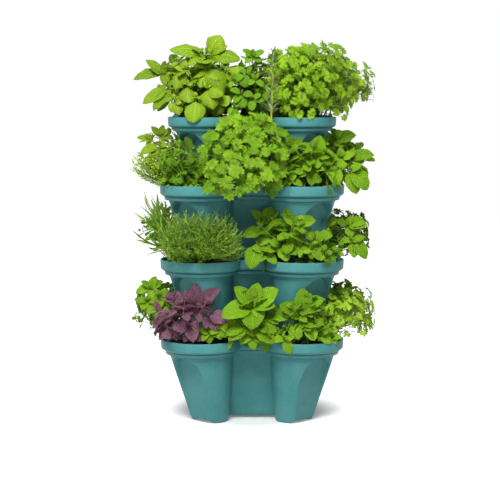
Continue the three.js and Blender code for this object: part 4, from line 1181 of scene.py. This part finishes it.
# %% Placed leaves of the third tier
PLACED["third_marjoram"] = [
    (
        (-165, -60, 516),
        [(13, 22, 5, 1.2), (-49, 25, 5, 1.3), (45, 19, 5, 1.4), (96, 25, 10, 1.3), (146, 18, 30)],
    ),
    ((-179, -60, 511), [(-88, 29, 8, 1.2), (-61, 18, 10, 1.2), (-131, 13, 20, 1.4)]),
    ((-167, -75, 497), [(-105, 37, 10, 1.2), (-131, 25, 20, 1.3), (128, 17, 20, 1.5), (77, 17, 10, 1.4)]),
    ((-177, -85, 473), [(-87, 20, 15, 1.3), (-135, 18, 20, 1.4), (144, 22, 15, 1.3), (9, 14, 10, 1.3)]),
]
PLACED["third_oregano"] = [
    ((-102, -100, 499), [(3, 19, 8, 1.15), (-101, 17, 10), (74, 13, 10, 1.1), (-177, 13, 35)]),
    ((-105, -105, 488), [(-92, 16, 12, 1.1), (104, 17, 12, 1.1), (178, 13, 30)]),
    ((-106, -112, 469), [(-90, 15, 12, 1.1), (61, 13, 12), (108, 17, 20), (-159, 11, 30)]),
    ((-101, -120, 458), [(-124, 19, 15, 1.1), (105, 16, 12), (156, 14, 25)]),
    ((-97, -128, 443), [(-94, 15, 15, 1.1), (55, 13, 12), (-149, 13, 25), (106, 18, 15)]),
    ((-90, -140, 433), [(-117, 13, 15, 1.1), (149, 12, 15, 1.1), (86, 14, 15)]),
    ((-112, -138, 434), [(-124, 12, 15, 1.1), (118, 10, 15), (-171, 11, 20)]),
    ((-131, -128, 462), [(179, 32, 12, 1.1), (80, 16, 12), (-117, 18, 15), (-31, 12, 12)]),
    ((-145, -118, 485), [(-155, 33, 12, 0.85), (92, 23, 10), (164, 22, 20), (-87, 18, 12), (-17, 14, 10)]),
    ((-128, -98, 496), [(42, 22, 6), (-130, 16, 15), (132, 13, 12), (-26, 16, 8)]),
    ((-148, -132, 446), [(-122, 15, 12), (135, 14, 15), (-41, 13, 12)]),
]
PLACED["third_sage"] = [
    (
        (68, -125, 499),
        [(-85, 37, 10), (-15, 25, 5), (50, 27, 10), (92, 29, 10), (140, 22, 35), (-140, 22, 35)],
    ),
    (
        (112, -135, 479),
        [(-40, 41, 5), (12, 43, 0), (70, 35, 10), (100, 31, 20), (-100, 25, 25), (175, 27, 45)],
    ),
    ((62, -130, 472), [(-100, 27, 20), (100, 31, 15), (150, 21, 30), (-30, 20, 10)]),
    ((71, -140, 460), [(110, 29, 15), (-110, 27, 20), (180, 23, 30)]),
    ((106, -140, 462), [(178, 31, 12), (-110, 25, 20), (100, 25, 25)]),
    ((68, -140, 445), [(-150, 23, 20), (130, 25, 20), (30, 16, 20)]),
]
PLACED["third_mint"] = [
    ((144, -130, 465), [(174, 36, 12), (-80, 21, 20), (60, 22, 15)]),
    ((173, -120, 457), [(168, 43, 12), (130, 47, 8), (60, 25, 10)]),
    ((176, -90, 477), [(82, 43, 5), (120, 25, 20), (-60, 23, 15), (20, 21, 5), (-130, 25, 25)]),
    ((147, -70, 510), [(82, 41, 5), (40, 23, 5), (-60, 25, 5), (130, 23, 25)]),
    ((158, -100, 478), [(-90, 25, 20), (70, 27, 15), (170, 25, 30), (0, 21, 5)]),
    ((130, -130, 466), [(-100, 23, 20), (150, 27, 20), (60, 25, 15)]),
]
print("clumps placed so far:", ", ".join(PLACED))

# %% Placed leaves of the second tier
PLACED["second_mint"] = [
    ((20, -110, 366), [(-48, 31, 5), (38, 35, 5), (100, 16, 30), (-140, 16, 30)]),
    ((69, -130, 356), [(-22, 39, 5), (70, 47, 8), (-80, 45, 12), (165, 48, 15), (20, 20, 10), (120, 26, 30)]),
    ((20, -125, 350), [(-95, 39, 12), (110, 20, 25)]),
    ((52, -125, 348), [(-98, 43, 12)]),
    ((11, -140, 328), [(-158, 46, 12), (60, 26, 15)]),
    ((48, -140, 324), [(105, 41, 15), (-100, 35, 15), (150, 31, 20)]),
    ((24, -140, 314), [(-60, 29, 20), (140, 29, 20), (-150, 25, 25)]),
    ((112, -135, 338), [(-60, 29, 10), (80, 33, 10), (-160, 27, 25), (155, 31, 20), (10, 16, 10)]),
    ((106, -145, 322), [(-110, 25, 20), (150, 27, 15), (-170, 21, 30)]),
]
PLACED["second_balm"] = [
    ((171, -85, 356), [(70, 35, 8), (100, 37, 10), (30, 21, 5), (-70, 25, 10), (160, 25, 30)]),
    ((179, -100, 330), [(135, 41, 8), (70, 25, 10), (170, 31, 15), (-80, 23, 20)]),
    ((132, -90, 357), [(-70, 23, 5), (60, 25, 5), (0, 17, 0), (180, 19, 40)]),
]
print("clumps placed so far:", ", ".join(PLACED))

# %% Placed leaves of the bottom tier
PLACED["bottom_mint"] = [
    ((-185, -60, 239), [(28, 27, 5), (62, 29, 5), (-98, 29, 8), (-55, 23, 5), (170, 21, 30)]),
    ((-190, -70, 218), [(-90, 23, 12), (90, 25, 12), (-150, 21, 25), (150, 23, 25)]),
    ((-167, -80, 228), [(50, 21, 5), (110, 23, 15), (-30, 15, 10)]),
    ((-170, -90, 206), [(100, 23, 15), (-100, 23, 20), (170, 21, 25), (40, 19, 10)]),
]
PLACED["bottom_purple_basil"] = [
    (
        (-101, -130, 216),
        [
            (0, 45, 5), (-77, 59, 8), (-45, 33, 10), (62, 57, 5), (80, 37, 22), (-118, 35, 22), (155, 29, 35),
            (30, 31, 10),
        ],
    ),
    ((-132, -130, 206), [(-120, 55, 12), (-150, 31, 25)]),
    ((-108, -140, 194), [(-130, 43, 15), (178, 42, 12), (150, 25, 30)]),
    ((-80, -138, 202), [(141, 36, 15, 1.1), (106, 43, 10, 1.1), (-170, 27, 30)]),
    ((-146, -135, 178), [(-140, 29, 15), (150, 27, 20), (-100, 27, 12)]),
    ((-110, -140, 176), [(-160, 25, 20), (130, 29, 20), (170, 23, 20)]),
]
PLACED["bottom_basil"] = [
    (
        (1, -150, 219),
        [
            (11, 45, 5), (-50, 49, 8), (65, 57, 5), (92, 45, 15), (-107, 60, 12), (-80, 25, 30),
            (130, 31, 30), (180, 46, 30, 1.25), (-5, 22, 12, 0.9), (30, 20, 25),
        ],
    ),
    ((-10, -150, 186), [(-135, 43, 15), (-105, 51, 5), (150, 23, 35)]),
    ((5, -150, 184), [(135, 47, 15), (100, 41, 8), (-160, 23, 35)]),
    ((0, -152, 168), [(180, 27, 15), (-120, 27, 12), (118, 25, 12)]),
    ((28, -140, 204), [(98, 43, 8), (140, 27, 25)]),
    ((-38, -150, 172), [(-95, 24, 15), (-60, 20, 20), (150, 18, 25)]),
    ((-58, -145, 176), [(-110, 20, 20), (60, 22, 20), (170, 18, 25)]),
    ((-76, -142, 171), [(-80, 22, 15), (176, 20, 20), (112, 20, 20), (40, 20, 15), (-135, 21, 20)]),
]
PLACED["bottom_spearmint"] = [
    ((91, -146, 210), [(-1, 44, 5), (51, 44, 8), (78, 40, 12, 1.15), (-126, 10, 30)]),
    ((87, -142, 196), [(-55, 51, 8), (113, 42, 15, 1.1), (172, 16, 35)]),
    ((70, -148, 189), [(160, 32, 15, 1.2), (-122, 9, 25)]),
    ((97, -146, 185), [(155, 31, 15, 1.2), (82, 20, 25)]),
    ((120, -140, 167), [(123, 26, 12, 1.2), (48, 28, 12), (-176, 12, 25)]),
    ((50, -152, 169), [(73, 13, 20, 1.3), (-104, 12, 20, 1.3), (180, 12, 20, 1.3), (5, 11, 20, 1.3)]),
    ((142, -132, 162), [(107, 19, 12, 1.2), (149, 16, 12, 1.2)]),
    ((57, -158, 162), [(160, 29, 8), (-100, 23, 15), (80, 21, 15)]),
]
placed_leaf_count = sum(len(leaves) for rows in PLACED.values() for _, leaves in rows)
print("leaves placed one by one:", placed_leaf_count)

# %% Shoots with placed leaves
VIEWER_WAY = np.array([0, -0.72, 0.69])
PLACED_STALK = dict(along=[-0.15, 0.5, 1.1], share=0.02, least=0.3, taper=[1, 0.9, 0.7])
PLACED_ROOT_SPREAD, PLACED_RISE_SPREAD, TO_VIEWER_SHARE, PLACED_STEM_RADII = [7, 4, 0], 0.2, 0.5, (1.2, 0.8)
STEM_BEHIND_MM, BUD_BEHIND_MM, BUD_BEFORE_MM = 5, 4, 3
BUD = dict(levels=[(1.0, 0.28, 16), (0.995, 0.34, 34)], grid=(6, 5))
BUD_SIZE_SHARE, BUD_STEM_RADIUS, YOUNGEST = 0.7, 0.8, 1.1


def placed_shoots(node, kind, rng):
    """The stems, stalks and blades of a clump's placed shoots. Each leaf's upper side is the shoot's
    facing made square to the leaf, and the leaf starts a little raised, because it droops by its end."""
    root, rows = mound_of(node)[0], PLACED[node]
    places = np.array([place for place, _ in rows], float)
    roots = root + rng.normal(size=places.shape) * PLACED_ROOT_SPREAD
    rises = unit(UPRIGHT + PLACED_RISE_SPREAD * rng.normal(size=places.shape))
    ends = unit(unit(places - root) + VIEWER_WAY * TO_VIEWER_SHARE)
    stem_points, _ = curve(roots, rises, places - VIEWER_WAY * STEM_BEHIND_MM, ends, STEM_SHARES)
    stems = rods(stem_points, np.linspace(*PLACED_STEM_RADII, STEM_STEPS), rng, sides=6)
    numbers = np.array([(*leaf, 1)[:4] for _, leaves in rows for leaf in leaves], float)
    base = np.repeat(places, [len(leaves) for _, leaves in rows], axis=0)
    turn, length, lean, wider = (numbers * [np.pi / 180, 1, np.pi / 180, 1]).T
    chord = np.stack([np.cos(lean) * np.sin(turn), -np.sin(lean), np.cos(lean) * np.cos(turn)], axis=-1)
    up = unit(VIEWER_WAY - chord * (chord @ VIEWER_WAY)[:, None])
    raised = kind["droop"] / 2
    along = chord * math.cos(raised) + up * math.sin(raised)
    up = up * math.cos(raised) - chord * math.sin(raised)
    young = np.clip(YOUNGEST - length / kind["size"], 0, 1)
    leaves, stalks = stalked_leaves(base, along, up, length, kind, young, rng, PLACED_STALK, wider)
    ways = np.tile(VIEWER_WAY, (len(rows), 1))
    feet, tips = places - ways * BUD_BEHIND_MM, places + ways * BUD_BEFORE_MM
    sizes = np.full(len(rows), kind["size"] * BUD_SIZE_SHARE)
    return [stems, stalks, leaves, *shoots(feet, tips, ways, sizes, {**kind, **BUD}, rng, BUD_STEM_RADIUS)]


FILL_BEHIND_MM, FILL_INSET, FILL_INSET_BEHIND_PLACED = 22, 0.86, 0.8
FRONT_LOW_RISE, BACK_LOW_RISE = -0.05, 0.2
ROOT_SPREAD, FILL_SIZES, FILL_GRID = [9, 6, 0], (0.8, 1.15), (7, 5)


def filling_shoots(node, kind, rng, count, size):
    """A clump's other shoots, spread over its dome, with simpler leaves. Where shoots were placed in
    front, the others stay behind them, so that they only fill the gaps."""
    inset = FILL_INSET_BEHIND_PLACED if node in PLACED else FILL_INSET
    low_rise = FRONT_LOW_RISE if mound_of(node)[0][1] < 0 else BACK_LOW_RISE
    root, tips, ways = fill_places(node, count, low_rise, inset, rng)
    if node in PLACED:
        front = np.mean([place[1] for place, _ in PLACED[node]])
        behind = tips[:, 1] > min(front + FILL_BEHIND_MM, np.median(tips[:, 1]))
        tips, ways = tips[behind], ways[behind]
    roots = root + rng.normal(size=tips.shape) * ROOT_SPREAD
    sizes = size * rng.uniform(*FILL_SIZES, len(tips))
    return shoots(roots, tips, ways, sizes, dict(kind, grid=FILL_GRID), rng)


def leafy_clump(node, kind, rng, count, size):
    """A clump's filling shoots, if it has any, and then its placed ones."""
    pieces = filling_shoots(node, kind, rng, count, size) if count else []
    return pieces + (placed_shoots(node, kind, rng) if node in PLACED else [])


print("placed shoots ready")

# %% [markdown]
# ## Leaflets, needles and blades
# Parsley, coriander and chervil carry toothed leaflets on branching stalks. Rosemary and thyme are stems
# covered all round with needles or tiny leaves. Chives are tall hollow blades that fan out from the root.

# %% Sprays of leaflets
LEAFLETS = np.array([(1.0, 0, 1.0), (0.86, 62, 0.9), (0.86, -62, 0.9), (0.5, 78, 0.78), (0.5, -78, 0.78)])
SPRAY_STEPS, SPRAY_RADII, SPRAY_RISE_SPREAD = 7, (1.0, 0.5), 0.3
MOSTLY_LEVEL, OUTWARD_PULL, SQUARE_SHARE, SPRAY_SIZES = [1, 1, 0.2], 0.8, 0.85, (0.75, 1.25)
AXIS_REACH, AXIS_BACK, AXIS_FRONT = 1.1, 0.5, 0.6
LEAFLET_TURN_SPREAD, LEAFLET_TILT_SPREAD, LEAFLET_LIFT = 10, 0.3, 0.15
LEAFLET_STALK_SHARES, LEAFLET_STALK_RADIUS, AXIS_RADIUS = (-0.1, 0.22), 0.45, 0.55


def sprays(roots, tips, ways, size, kind, rng):
    """Compound leaves. Each has a stalk from root to tip and a short axis lying square to its way, which
    carries an end leaflet and side pairs: rows of share along the axis, angle aside and relative size."""
    count = len(tips)
    rises = rising(count, SPRAY_RISE_SPREAD, rng)
    stalks, _ = curve(roots, rises, tips, ways, np.linspace(0, 1, SPRAY_STEPS))
    pieces = [rods(stalks, np.linspace(*SPRAY_RADII, SPRAY_STEPS), rng)]
    first, second = frame_of(ways)
    roll = rng.uniform(0, 2 * np.pi, (count, 1))
    outward = unit(tips - roots) * MOSTLY_LEVEL
    axis_way = unit(first * np.cos(roll) + second * np.sin(roll) + OUTWARD_PULL * outward)
    axis_way = unit(axis_way - ways * (axis_way * ways).sum(axis=1, keepdims=True) * SQUARE_SHARE)
    across = unit(np.cross(axis_way, ways))[:, None]
    length = size * rng.uniform(*SPRAY_SIZES, (count, 1))
    share, angle, relative = LEAFLETS.T
    from_tip = (share * AXIS_REACH - AXIS_BACK) * length
    base = tips[:, None] + axis_way[:, None] * from_tip[..., None]
    angle = np.radians(angle + LEAFLET_TURN_SPREAD * rng.normal(size=(count, len(LEAFLETS))))[..., None]
    along = axis_way[:, None] * np.cos(angle) + across * np.sin(angle)
    along = unit(along + LEAFLET_TILT_SPREAD * rng.normal(size=along.shape) + LEAFLET_LIFT * ways[:, None])
    up = unit(ways[:, None] - along * (ways[:, None] * along).sum(axis=-1, keepdims=True))
    young = np.repeat(rng.uniform(0, 1, count) ** 2, len(LEAFLETS))
    sizes = (length * relative).ravel()
    base, along, up = (vectors.reshape(-1, 3) for vectors in (base, along, up))
    behind, foot = (base + along * share * sizes[:, None] for share in LEAFLET_STALK_SHARES)
    pieces.append(rods(np.stack([behind, foot], axis=1), LEAFLET_STALK_RADIUS, rng))
    axis_ends = [tips - axis_way * length * AXIS_BACK, tips + axis_way * length * AXIS_FRONT]
    pieces.append(rods(np.stack(axis_ends, axis=1), AXIS_RADIUS, rng))
    return pieces + [fans(foot, along, up, sizes, kind, young, rng)]


SPRAY_LAYERS, SPRAY_INSET, SPRAY_LOW_RISE, FEWEST_SPRAYS = (1.0, 0.82, 0.62), 0.98, -0.72, 4
SPRAY_DOME = dict(DOME, lift=0.4, power=3, hang=True, outwards=0.9)
SPRAY_ROOT_SPREAD = [14, 8, 0]


def spray_clump(node, kind, rng, count, size):
    """Sprays on several domes inside each other, so that no gap shows far into the clump."""
    pieces = []
    for layer in SPRAY_LAYERS:
        number = max(int(count * layer**2), FEWEST_SPRAYS)
        inset = layer * SPRAY_INSET
        root, tips, ways = fill_places(node, number, SPRAY_LOW_RISE, inset, rng, SPRAY_DOME)
        roots = root + rng.normal(size=tips.shape) * SPRAY_ROOT_SPREAD
        pieces += sprays(roots, tips, ways, size, kind, rng)
    return pieces


print("a spray has", len(LEAFLETS), "leaflets")

# %% Needles and small leaves along stems
NEEDLE_TIP_SHARE, NEEDLE_SHARE_SPREAD, NEEDLE_ROLL_SPREAD, NEEDLE_LEAN_SPREAD = 0.5, 0.01, 0.3, 0.18
NEEDLE_LENGTHS, LAST_NEEDLE_SHARE, FIRST_NEEDLE_TURN = (0.7, 1.15), 0.75, 6.3


def needled(stem_points, needles, reach, opening, kind, rng, radius=0.8):
    """Stems with needles all round. Needle k stands at an even share of its stem, turned by the golden
    angle from needle k - 1, and leans from the stem by the opening."""
    count, steps = stem_points.shape[:2]
    stems = rods(stem_points, np.linspace(radius, radius * NEEDLE_TIP_SHARE, steps), rng)
    share = np.linspace(kind["from_share"], kind["to_share"], needles)
    share = share + NEEDLE_SHARE_SPREAD * rng.normal(size=(count, needles))
    at = np.clip(share, 0, 1) * (steps - 1)
    low = np.minimum(at.astype(int), steps - 2)
    part = (at - low)[..., None]
    rows = np.arange(count)[:, None]
    before, after = stem_points[rows, low], stem_points[rows, low + 1]
    base = before * (1 - part) + after * part
    roll = GOLDEN_ANGLE * np.arange(needles) + rng.uniform(0, FIRST_NEEDLE_TURN, (count, 1))
    roll = roll + NEEDLE_ROLL_SPREAD * rng.normal(size=roll.shape)
    closing = np.linspace(1, kind["tip_closing"], needles)
    lean = np.radians(opening) * closing * (1 + NEEDLE_LEAN_SPREAD * rng.normal(size=roll.shape))
    along, up = leaning(unit(after - before), roll, lean)
    length = reach * rng.uniform(*NEEDLE_LENGTHS, roll.shape) * np.linspace(1, LAST_NEEDLE_SHARE, needles)
    young = np.tile(np.linspace(kind["young_from"], 1, needles) ** 2, count)
    base, along, up = (vectors.reshape(-1, 3) for vectors in (base, along, up))
    return [stems, blades(base, along, up, length.ravel(), kind, young, rng)]


NEEDLE_LAYERS, NEEDLE_INSET, NEEDLE_LOW_RISE = [(0.98, 0.45), (0.88, 0.35), (0.72, 0.2)], 0.95, 0.1
NEEDLE_DOME = dict(DOME, scatter=0.5, power=3.5)
NEEDLE_RISE_SPREAD, NEEDLE_OPENING = 0.5, 58


def needle_mound(node, kind, rng, stems, needles, reach):
    """Stems from the root to three domes inside each other, each covered in needles near its end. A
    layer is its dome's size and its share of the stems."""
    pieces = []
    for layer, share in NEEDLE_LAYERS:
        inset = layer * NEEDLE_INSET
        root, tips, ways = fill_places(node, int(stems * share), NEEDLE_LOW_RISE, inset, rng, NEEDLE_DOME)
        roots = root + rng.normal(size=tips.shape) * ROOT_SPREAD
        rises = rising(len(tips), NEEDLE_RISE_SPREAD, rng)
        stem_points, _ = curve(roots, rises, tips, ways, STEM_SHARES)
        pieces += needled(stem_points, needles, reach, NEEDLE_OPENING, kind, rng)
    return pieces


BLADE_TURNS, BLADE_RISES, BLADE_REACHES = (-1.5, 1.5), (0.15, 1.35), (0.72, 1.12)
BLADE_ROOT_SPREAD, BLADE_LEAN_SHARE, BRANCH_OPENING, BLADE_RADIUS = [9, 7, 0], 0.4, 22, 1.3


def blade_fan(node, kind, rng, count):
    """Long narrow blades from the root to the outer half of the clump's dome, with shorter ones that
    branch from them at a narrow angle."""
    root, low, high = mound_of(node)
    middle, half = (low + high) / 2, (high - low) / 2
    outward = unit((middle - root) * LEVEL_ONLY)
    turn = rng.uniform(*BLADE_TURNS, (count, 1))
    rise = rng.uniform(*BLADE_RISES, (count, 1))
    level_way = outward * np.cos(turn) + np.cross(outward, UPRIGHT) * np.sin(turn)
    way = level_way * np.cos(rise) + UPRIGHT * np.sin(rise)
    reach = rng.uniform(*BLADE_REACHES, (count, 1))
    goal = np.array([middle[0], middle[1], low[2]]) + way * reach * half * [1, 1, 2]
    roots = root + rng.normal(size=goal.shape) * BLADE_ROOT_SPREAD
    stem_points, _ = curve(roots, unit(way * BLADE_LEAN_SHARE + UPRIGHT), goal, way, STEM_SHARES)
    return needled(stem_points, kind["branches"], kind["size"], BRANCH_OPENING, kind, rng, BLADE_RADIUS)


print("needles and blades ready")

# %% [markdown]
# ## Planting the tower
# Every packed mound of herbs is replaced by its grown clump. The clumps that the photograph shows get
# their placed shoots; nearly every clump is filled out over its own dome, so the tower is planted all
# round.

# %% More kinds: leaflets, needles and blades
FAN = dict(opening=1.75, crinkle=0.05, droop=0.25, fold=0.25, thickness=0.35, stem=GREEN_STEM)
NEEDLE = dict(
    grid=(3, 3), outline=(0.25, 0.4), width=0.07, droop=0.2, fold=0.3, puff=0, ripple=0, thickness=0.4,
    from_share=0.3, to_share=1, tip_closing=0.35, young_from=0, stem=GREEN_STEM,
)
FINE_KINDS = {
    "parsley": (FAN, {}, ("parsley_leaf", "#74a40c", "#92bc22", "#a2c64a", 0.48, 4, 0.4)),
    "bright_parsley": (FAN, {}, ("young_parsley_leaf", "#60900a", "#82b01e", "#9cc046", 0.46, 4, 0.4)),
    "coriander": (FAN, dict(opening=1.5), ("coriander_leaf", "#84b016", "#a2ca34", "#b2d05a", 0.5, 4, 0.3)),
    "rosemary": (
        NEEDLE,
        dict(from_share=0.66, width=0.1),
        ("rosemary_needle", "#4e7c12", "#8cb432", "#a6c068", 0.5, 2, 0.1),
    ),
    "thyme": (
        NEEDLE,
        dict(grid=(5, 3), outline=(0.5, 0.6), width=0.3, from_share=0.5),
        ("thyme_leaf", "#88b020", "#acce40", "#bcd468", 0.55, 2, 0.2),
    ),
    "chives": (
        NEEDLE,
        dict(branches=6, size=46),
        ("chive_blade", "#56841c", "#80aa34", "#98b858", 0.45, 2, 0.1),
    ),
}
for name, (shape, changes, finish) in FINE_KINDS.items():
    KINDS[name] = {**shape, **changes, "leaf": leaf_finish(*finish)}
print("kinds in all:", len(KINDS))

# %% What grows where
# Each row is a clump's kind, how many shoots or stems it gets, and their leaves' size in millimetres.
# Needled clumps have their needles on a stem in between, and chives take their size from their kind.
LEAFY = {
    "bottom_purple_basil": ("purple_basil", 13, 26),
    "bottom_basil": ("mint", 22, 28),
    "bottom_spearmint": ("mint", 20, 20),
    "bottom_mint": ("mint", 26, 20),
    "bottom_green_basil": ("basil", 14, 42),
    "bottom_lemon_balm": ("mint", 20, 32),
    "second_mint": ("mint", 26, 28),
    "second_oregano": ("round", 10, 18),
    "second_balm": ("mint", 24, 22),
    "second_marjoram": ("round", 34, 20),
    "third_oregano": ("round", 26, 18),
    "third_sage": ("mint", 34, 26),
    "third_mint": ("mint", 26, 26),
    "third_marjoram": ("pale_mint", 22, 20),
    "third_basil": ("basil", 14, 42),
    "third_balm": ("mint", 22, 30),
    "top_basil": ("basil", 26, 30),
    "top_oregano": ("round", 50, 22),
    "top_mint": ("pale_mint", 0, 0),
    "top_balm": ("mint", 34, 36),
}
SPRAYED = {
    "bottom_coriander": ("coriander", 64, 9),
    "bottom_chervil": ("parsley", 60, 10),
    "second_parsley": ("parsley", 60, 12),
    "third_parsley": ("bright_parsley", 150, 11),
    "top_parsley": ("parsley", 175, 8),
    "top_coriander": ("coriander", 26, 9.5),
    "top_chervil": ("parsley", 80, 10),
}
NEEDLED = {
    "second_rosemary": ("rosemary", 460, 15, 10),
    "second_thyme": ("thyme", 150, 22, 5),
    "third_thyme": ("thyme", 190, 18, 6),
}
BLADED = {"second_chives": ("chives", 24), "third_chives": ("chives", 40)}
PLANTINGS = [
    (100, LEAFY, leafy_clump),
    (200, SPRAYED, spray_clump),
    (300, NEEDLED, needle_mound),
    (400, BLADED, blade_fan),
]

face_counts = {}
for first_seed, clumps, grow in PLANTINGS:
    for number, (node, (name, *amounts)) in enumerate(clumps.items()):
        rng = np.random.default_rng(first_seed + number)
        face_counts[node] = make_plant(node, grow(node, KINDS[name], rng, *amounts), KINDS[name])
print("faces:", face_counts, "in all", sum(face_counts.values()))

# %% The rosemary sprig
SPRIG_SEED, SPRIG_ENDS = 7, np.array([(33, -149, 548), (37, -138, 646)], float)
SPRIG_LOWER_STEPS, SPRIG_UPPER_STEPS, SPRIG_ROOT_WAY = 5, 12, np.array([[0, -0.3, 0.95]])
SPRIG_NEEDLES, SPRIG_REACH, SPRIG_OPENING, SPRIG_RADIUS = 74, 24, 62, 2.1
TUFT_NEEDLES, TUFT_REACH, TUFT_OPENING, TUFT_LENGTH, TUFT_RADIUS = 20, 20, 46, 16, 1.0
TUFT_STEPS, TUFT_START_SHARE = 5, -0.3
LOW_SHOOTS, LOW_NEEDLES, LOW_REACH_SHARE, LOW_STEPS = 26, 30, 0.7, 7
LOW_SHOOT_MIDDLE, LOW_SHOOT_SPREAD, LOW_ROOT_SHARES = [-10, 4, 34], [46, 12, 16], [0.5, 0.3, 0]
LONG_NEEDLE = dict(KINDS["rosemary"], from_share=0.34, to_share=0.9, width=0.08, tip_closing=0.85)
BROAD_NEEDLE = dict(KINDS["rosemary"], from_share=0.1, width=0.16, tip_closing=0.5, young_from=1)


def rosemary_sprig():
    """One upright stem that hangs out over the rim and rises with long pale needles, and on its tip a
    short tuft of broader, darker ones. Low shoots stand round its root."""
    rng = np.random.default_rng(SPRIG_SEED)
    root = mound_of("top_rosemary")[0]
    foot, top = SPRIG_ENDS[:1], SPRIG_ENDS[1:]
    way = unit(top - foot)
    lower, _ = curve(root[None], SPRIG_ROOT_WAY, foot, way, np.linspace(0, 1, SPRIG_LOWER_STEPS))
    upper = foot + (top - foot) * np.linspace(0, 1, SPRIG_UPPER_STEPS + 1)[1:, None]
    stem = np.concatenate([lower[0], upper])[None]
    pieces = needled(stem, SPRIG_NEEDLES, SPRIG_REACH, SPRIG_OPENING, LONG_NEEDLE, rng, SPRIG_RADIUS)
    tuft = top + way * np.linspace(TUFT_START_SHARE, 1, TUFT_STEPS)[:, None] * TUFT_LENGTH
    pieces += needled(tuft[None], TUFT_NEEDLES, TUFT_REACH, TUFT_OPENING, BROAD_NEEDLE, rng, TUFT_RADIUS)
    spread = rng.uniform(-1, 1, (LOW_SHOOTS, 3)) * LOW_SHOOT_SPREAD
    low_roots, low_tips = root + spread * LOW_ROOT_SHARES, root + LOW_SHOOT_MIDDLE + spread
    rises = np.tile(UPRIGHT, (LOW_SHOOTS, 1))
    low_stems, _ = curve(low_roots, rises, low_tips, rises, np.linspace(0, 1, LOW_STEPS))
    reach = SPRIG_REACH * LOW_REACH_SHARE
    return pieces + needled(low_stems, LOW_NEEDLES, reach, SPRIG_OPENING, BROAD_NEEDLE, rng)


silvery = leaf_finish("rosemary_needle_silvery", "#a4bc74", "#547f28", "#ccd6a4", 0.5, 2, 0.1)
print("sprig faces:", make_plant("top_rosemary", rosemary_sprig(), dict(leaf=silvery, stem=WOODY_STEM)))

# %% [markdown]
# ## Floor, light and background
# The photograph is a product picture on white: one large soft light in front and above, a little to the
# left, a pale floor that keeps a weak contact shadow, and a white backdrop. The floor glows only towards
# the camera, so that it reads white where no shadow falls, and it adds no light to the tower.

# %% Floor and backdrop
FLOOR_HALF_MM, BACKDROP_AWAY_MM, BACKDROP_HALF_MM = 4000, 3900, 9000
FLOOR_WHITE, PURE_WHITE, NEAR_GLOW, FAR_GLOW = "#dcdcdc", "#ffffff", 0.16, 1.0
GLOW_FROM_MM, GLOW_TO_MM = 105, 200


def flat_square(name, half, place, upright, material):
    """A square sheet about a place, level or facing the camera, as stage and not part of the object."""
    corners = np.array([[-1, -1], [1, -1], [1, 1], [-1, 1]]) * half
    zero = np.zeros(4)
    points = np.stack([corners[:, 0], zero, corners[:, 1]] if upright else [*corners.T, zero], axis=-1)
    make_piece(name, points + place, [np.array([[0, 1, 2, 3]])], [material])


def seen_rays(tree):
    """1 for the rays that show a surface to the camera, straight, mirrored or through glass, else 0."""
    seen = add(tree, "LightPath", out="Is Camera Ray")
    rays = seen.node.outputs
    for other in ("Is Glossy Ray", "Is Transmission Ray"):
        seen = add(tree, "Math", {0: seen, 1: rays[other]}, operation="MAXIMUM")
    return seen


def floor_paper():
    """Matt white paper that glows for seen rays only: a little under the tower, so that its shadow
    stays, and fully white further out."""
    material, tree = start_material("floor_paper")
    skin = add(tree, "BsdfDiffuse", {"Color": linear(FLOOR_WHITE)})
    place = add(tree, "TexCoord", out="Object")
    away = add(tree, "VectorMath", {0: place}, "Value", operation="LENGTH")
    reach = {"Value": away, "From Min": GLOW_FROM_MM * MM, "From Max": GLOW_TO_MM * MM}
    reach.update({"To Min": NEAR_GLOW, "To Max": FAR_GLOW})
    outward = add(tree, "MapRange", reach, interpolation_type="SMOOTHSTEP")
    strength = add(tree, "Math", {0: seen_rays(tree), 1: outward}, operation="MULTIPLY")
    glow = add(tree, "Emission", {"Color": linear(PURE_WHITE), "Strength": strength})
    add(tree, "OutputMaterial", {"Surface": add(tree, "AddShader", {0: skin, 1: glow})})
    return material


def white_backdrop():
    """Pure white for seen rays, dark for every other ray."""
    material, tree = start_material("white_backdrop")
    glow = add(tree, "Emission", {"Color": linear(PURE_WHITE), "Strength": seen_rays(tree)})
    add(tree, "OutputMaterial", {"Surface": glow})
    return material


flat_square("floor", FLOOR_HALF_MM, [0, 0, 0], False, floor_paper())
flat_square("backdrop", BACKDROP_HALF_MM, [0, BACKDROP_AWAY_MM, 0], True, white_backdrop())
print("floor and backdrop ready")

# %% Lights
WORLD_LIGHT = 0.3
LIGHTS = {
    "key": dict(place_mm=(-330, -1950, 2250), size=1.2, watts=92),
    "fill": dict(place_mm=(-1900, -1900, 800), size=1.8, watts=6),
}
LIGHT_TARGET_MM = (0, 0, 330)

world = bpy.data.worlds.new("studio")
bpy.context.scene.world = world
world.use_nodes = True
sky = world.node_tree
sky.nodes.clear()
strength = add(sky, "MapRange", {"Value": seen_rays(sky), "To Min": WORLD_LIGHT})
shine = add(sky, "Background", {"Color": linear(PURE_WHITE), "Strength": strength})
add(sky, "OutputWorld", {"Surface": shine})

for name, facts in LIGHTS.items():
    data = bpy.data.lights.new(name, "AREA")
    data.shape = "DISK"
    data.size = facts["size"]
    data.energy = facts["watts"]
    lamp = bpy.data.objects.new(name, data)
    lamp.location = np.array(facts["place_mm"]) * MM
    way = np.array(LIGHT_TARGET_MM) - facts["place_mm"]
    lamp.rotation_euler = (math.atan2(math.hypot(way[0], way[1]), -way[2]), 0, math.atan2(-way[0], way[1]))
    bpy.context.scene.collection.objects.link(lamp)
bpy.context.scene.view_settings.view_transform = "Standard"
print("lights:", ", ".join(LIGHTS))
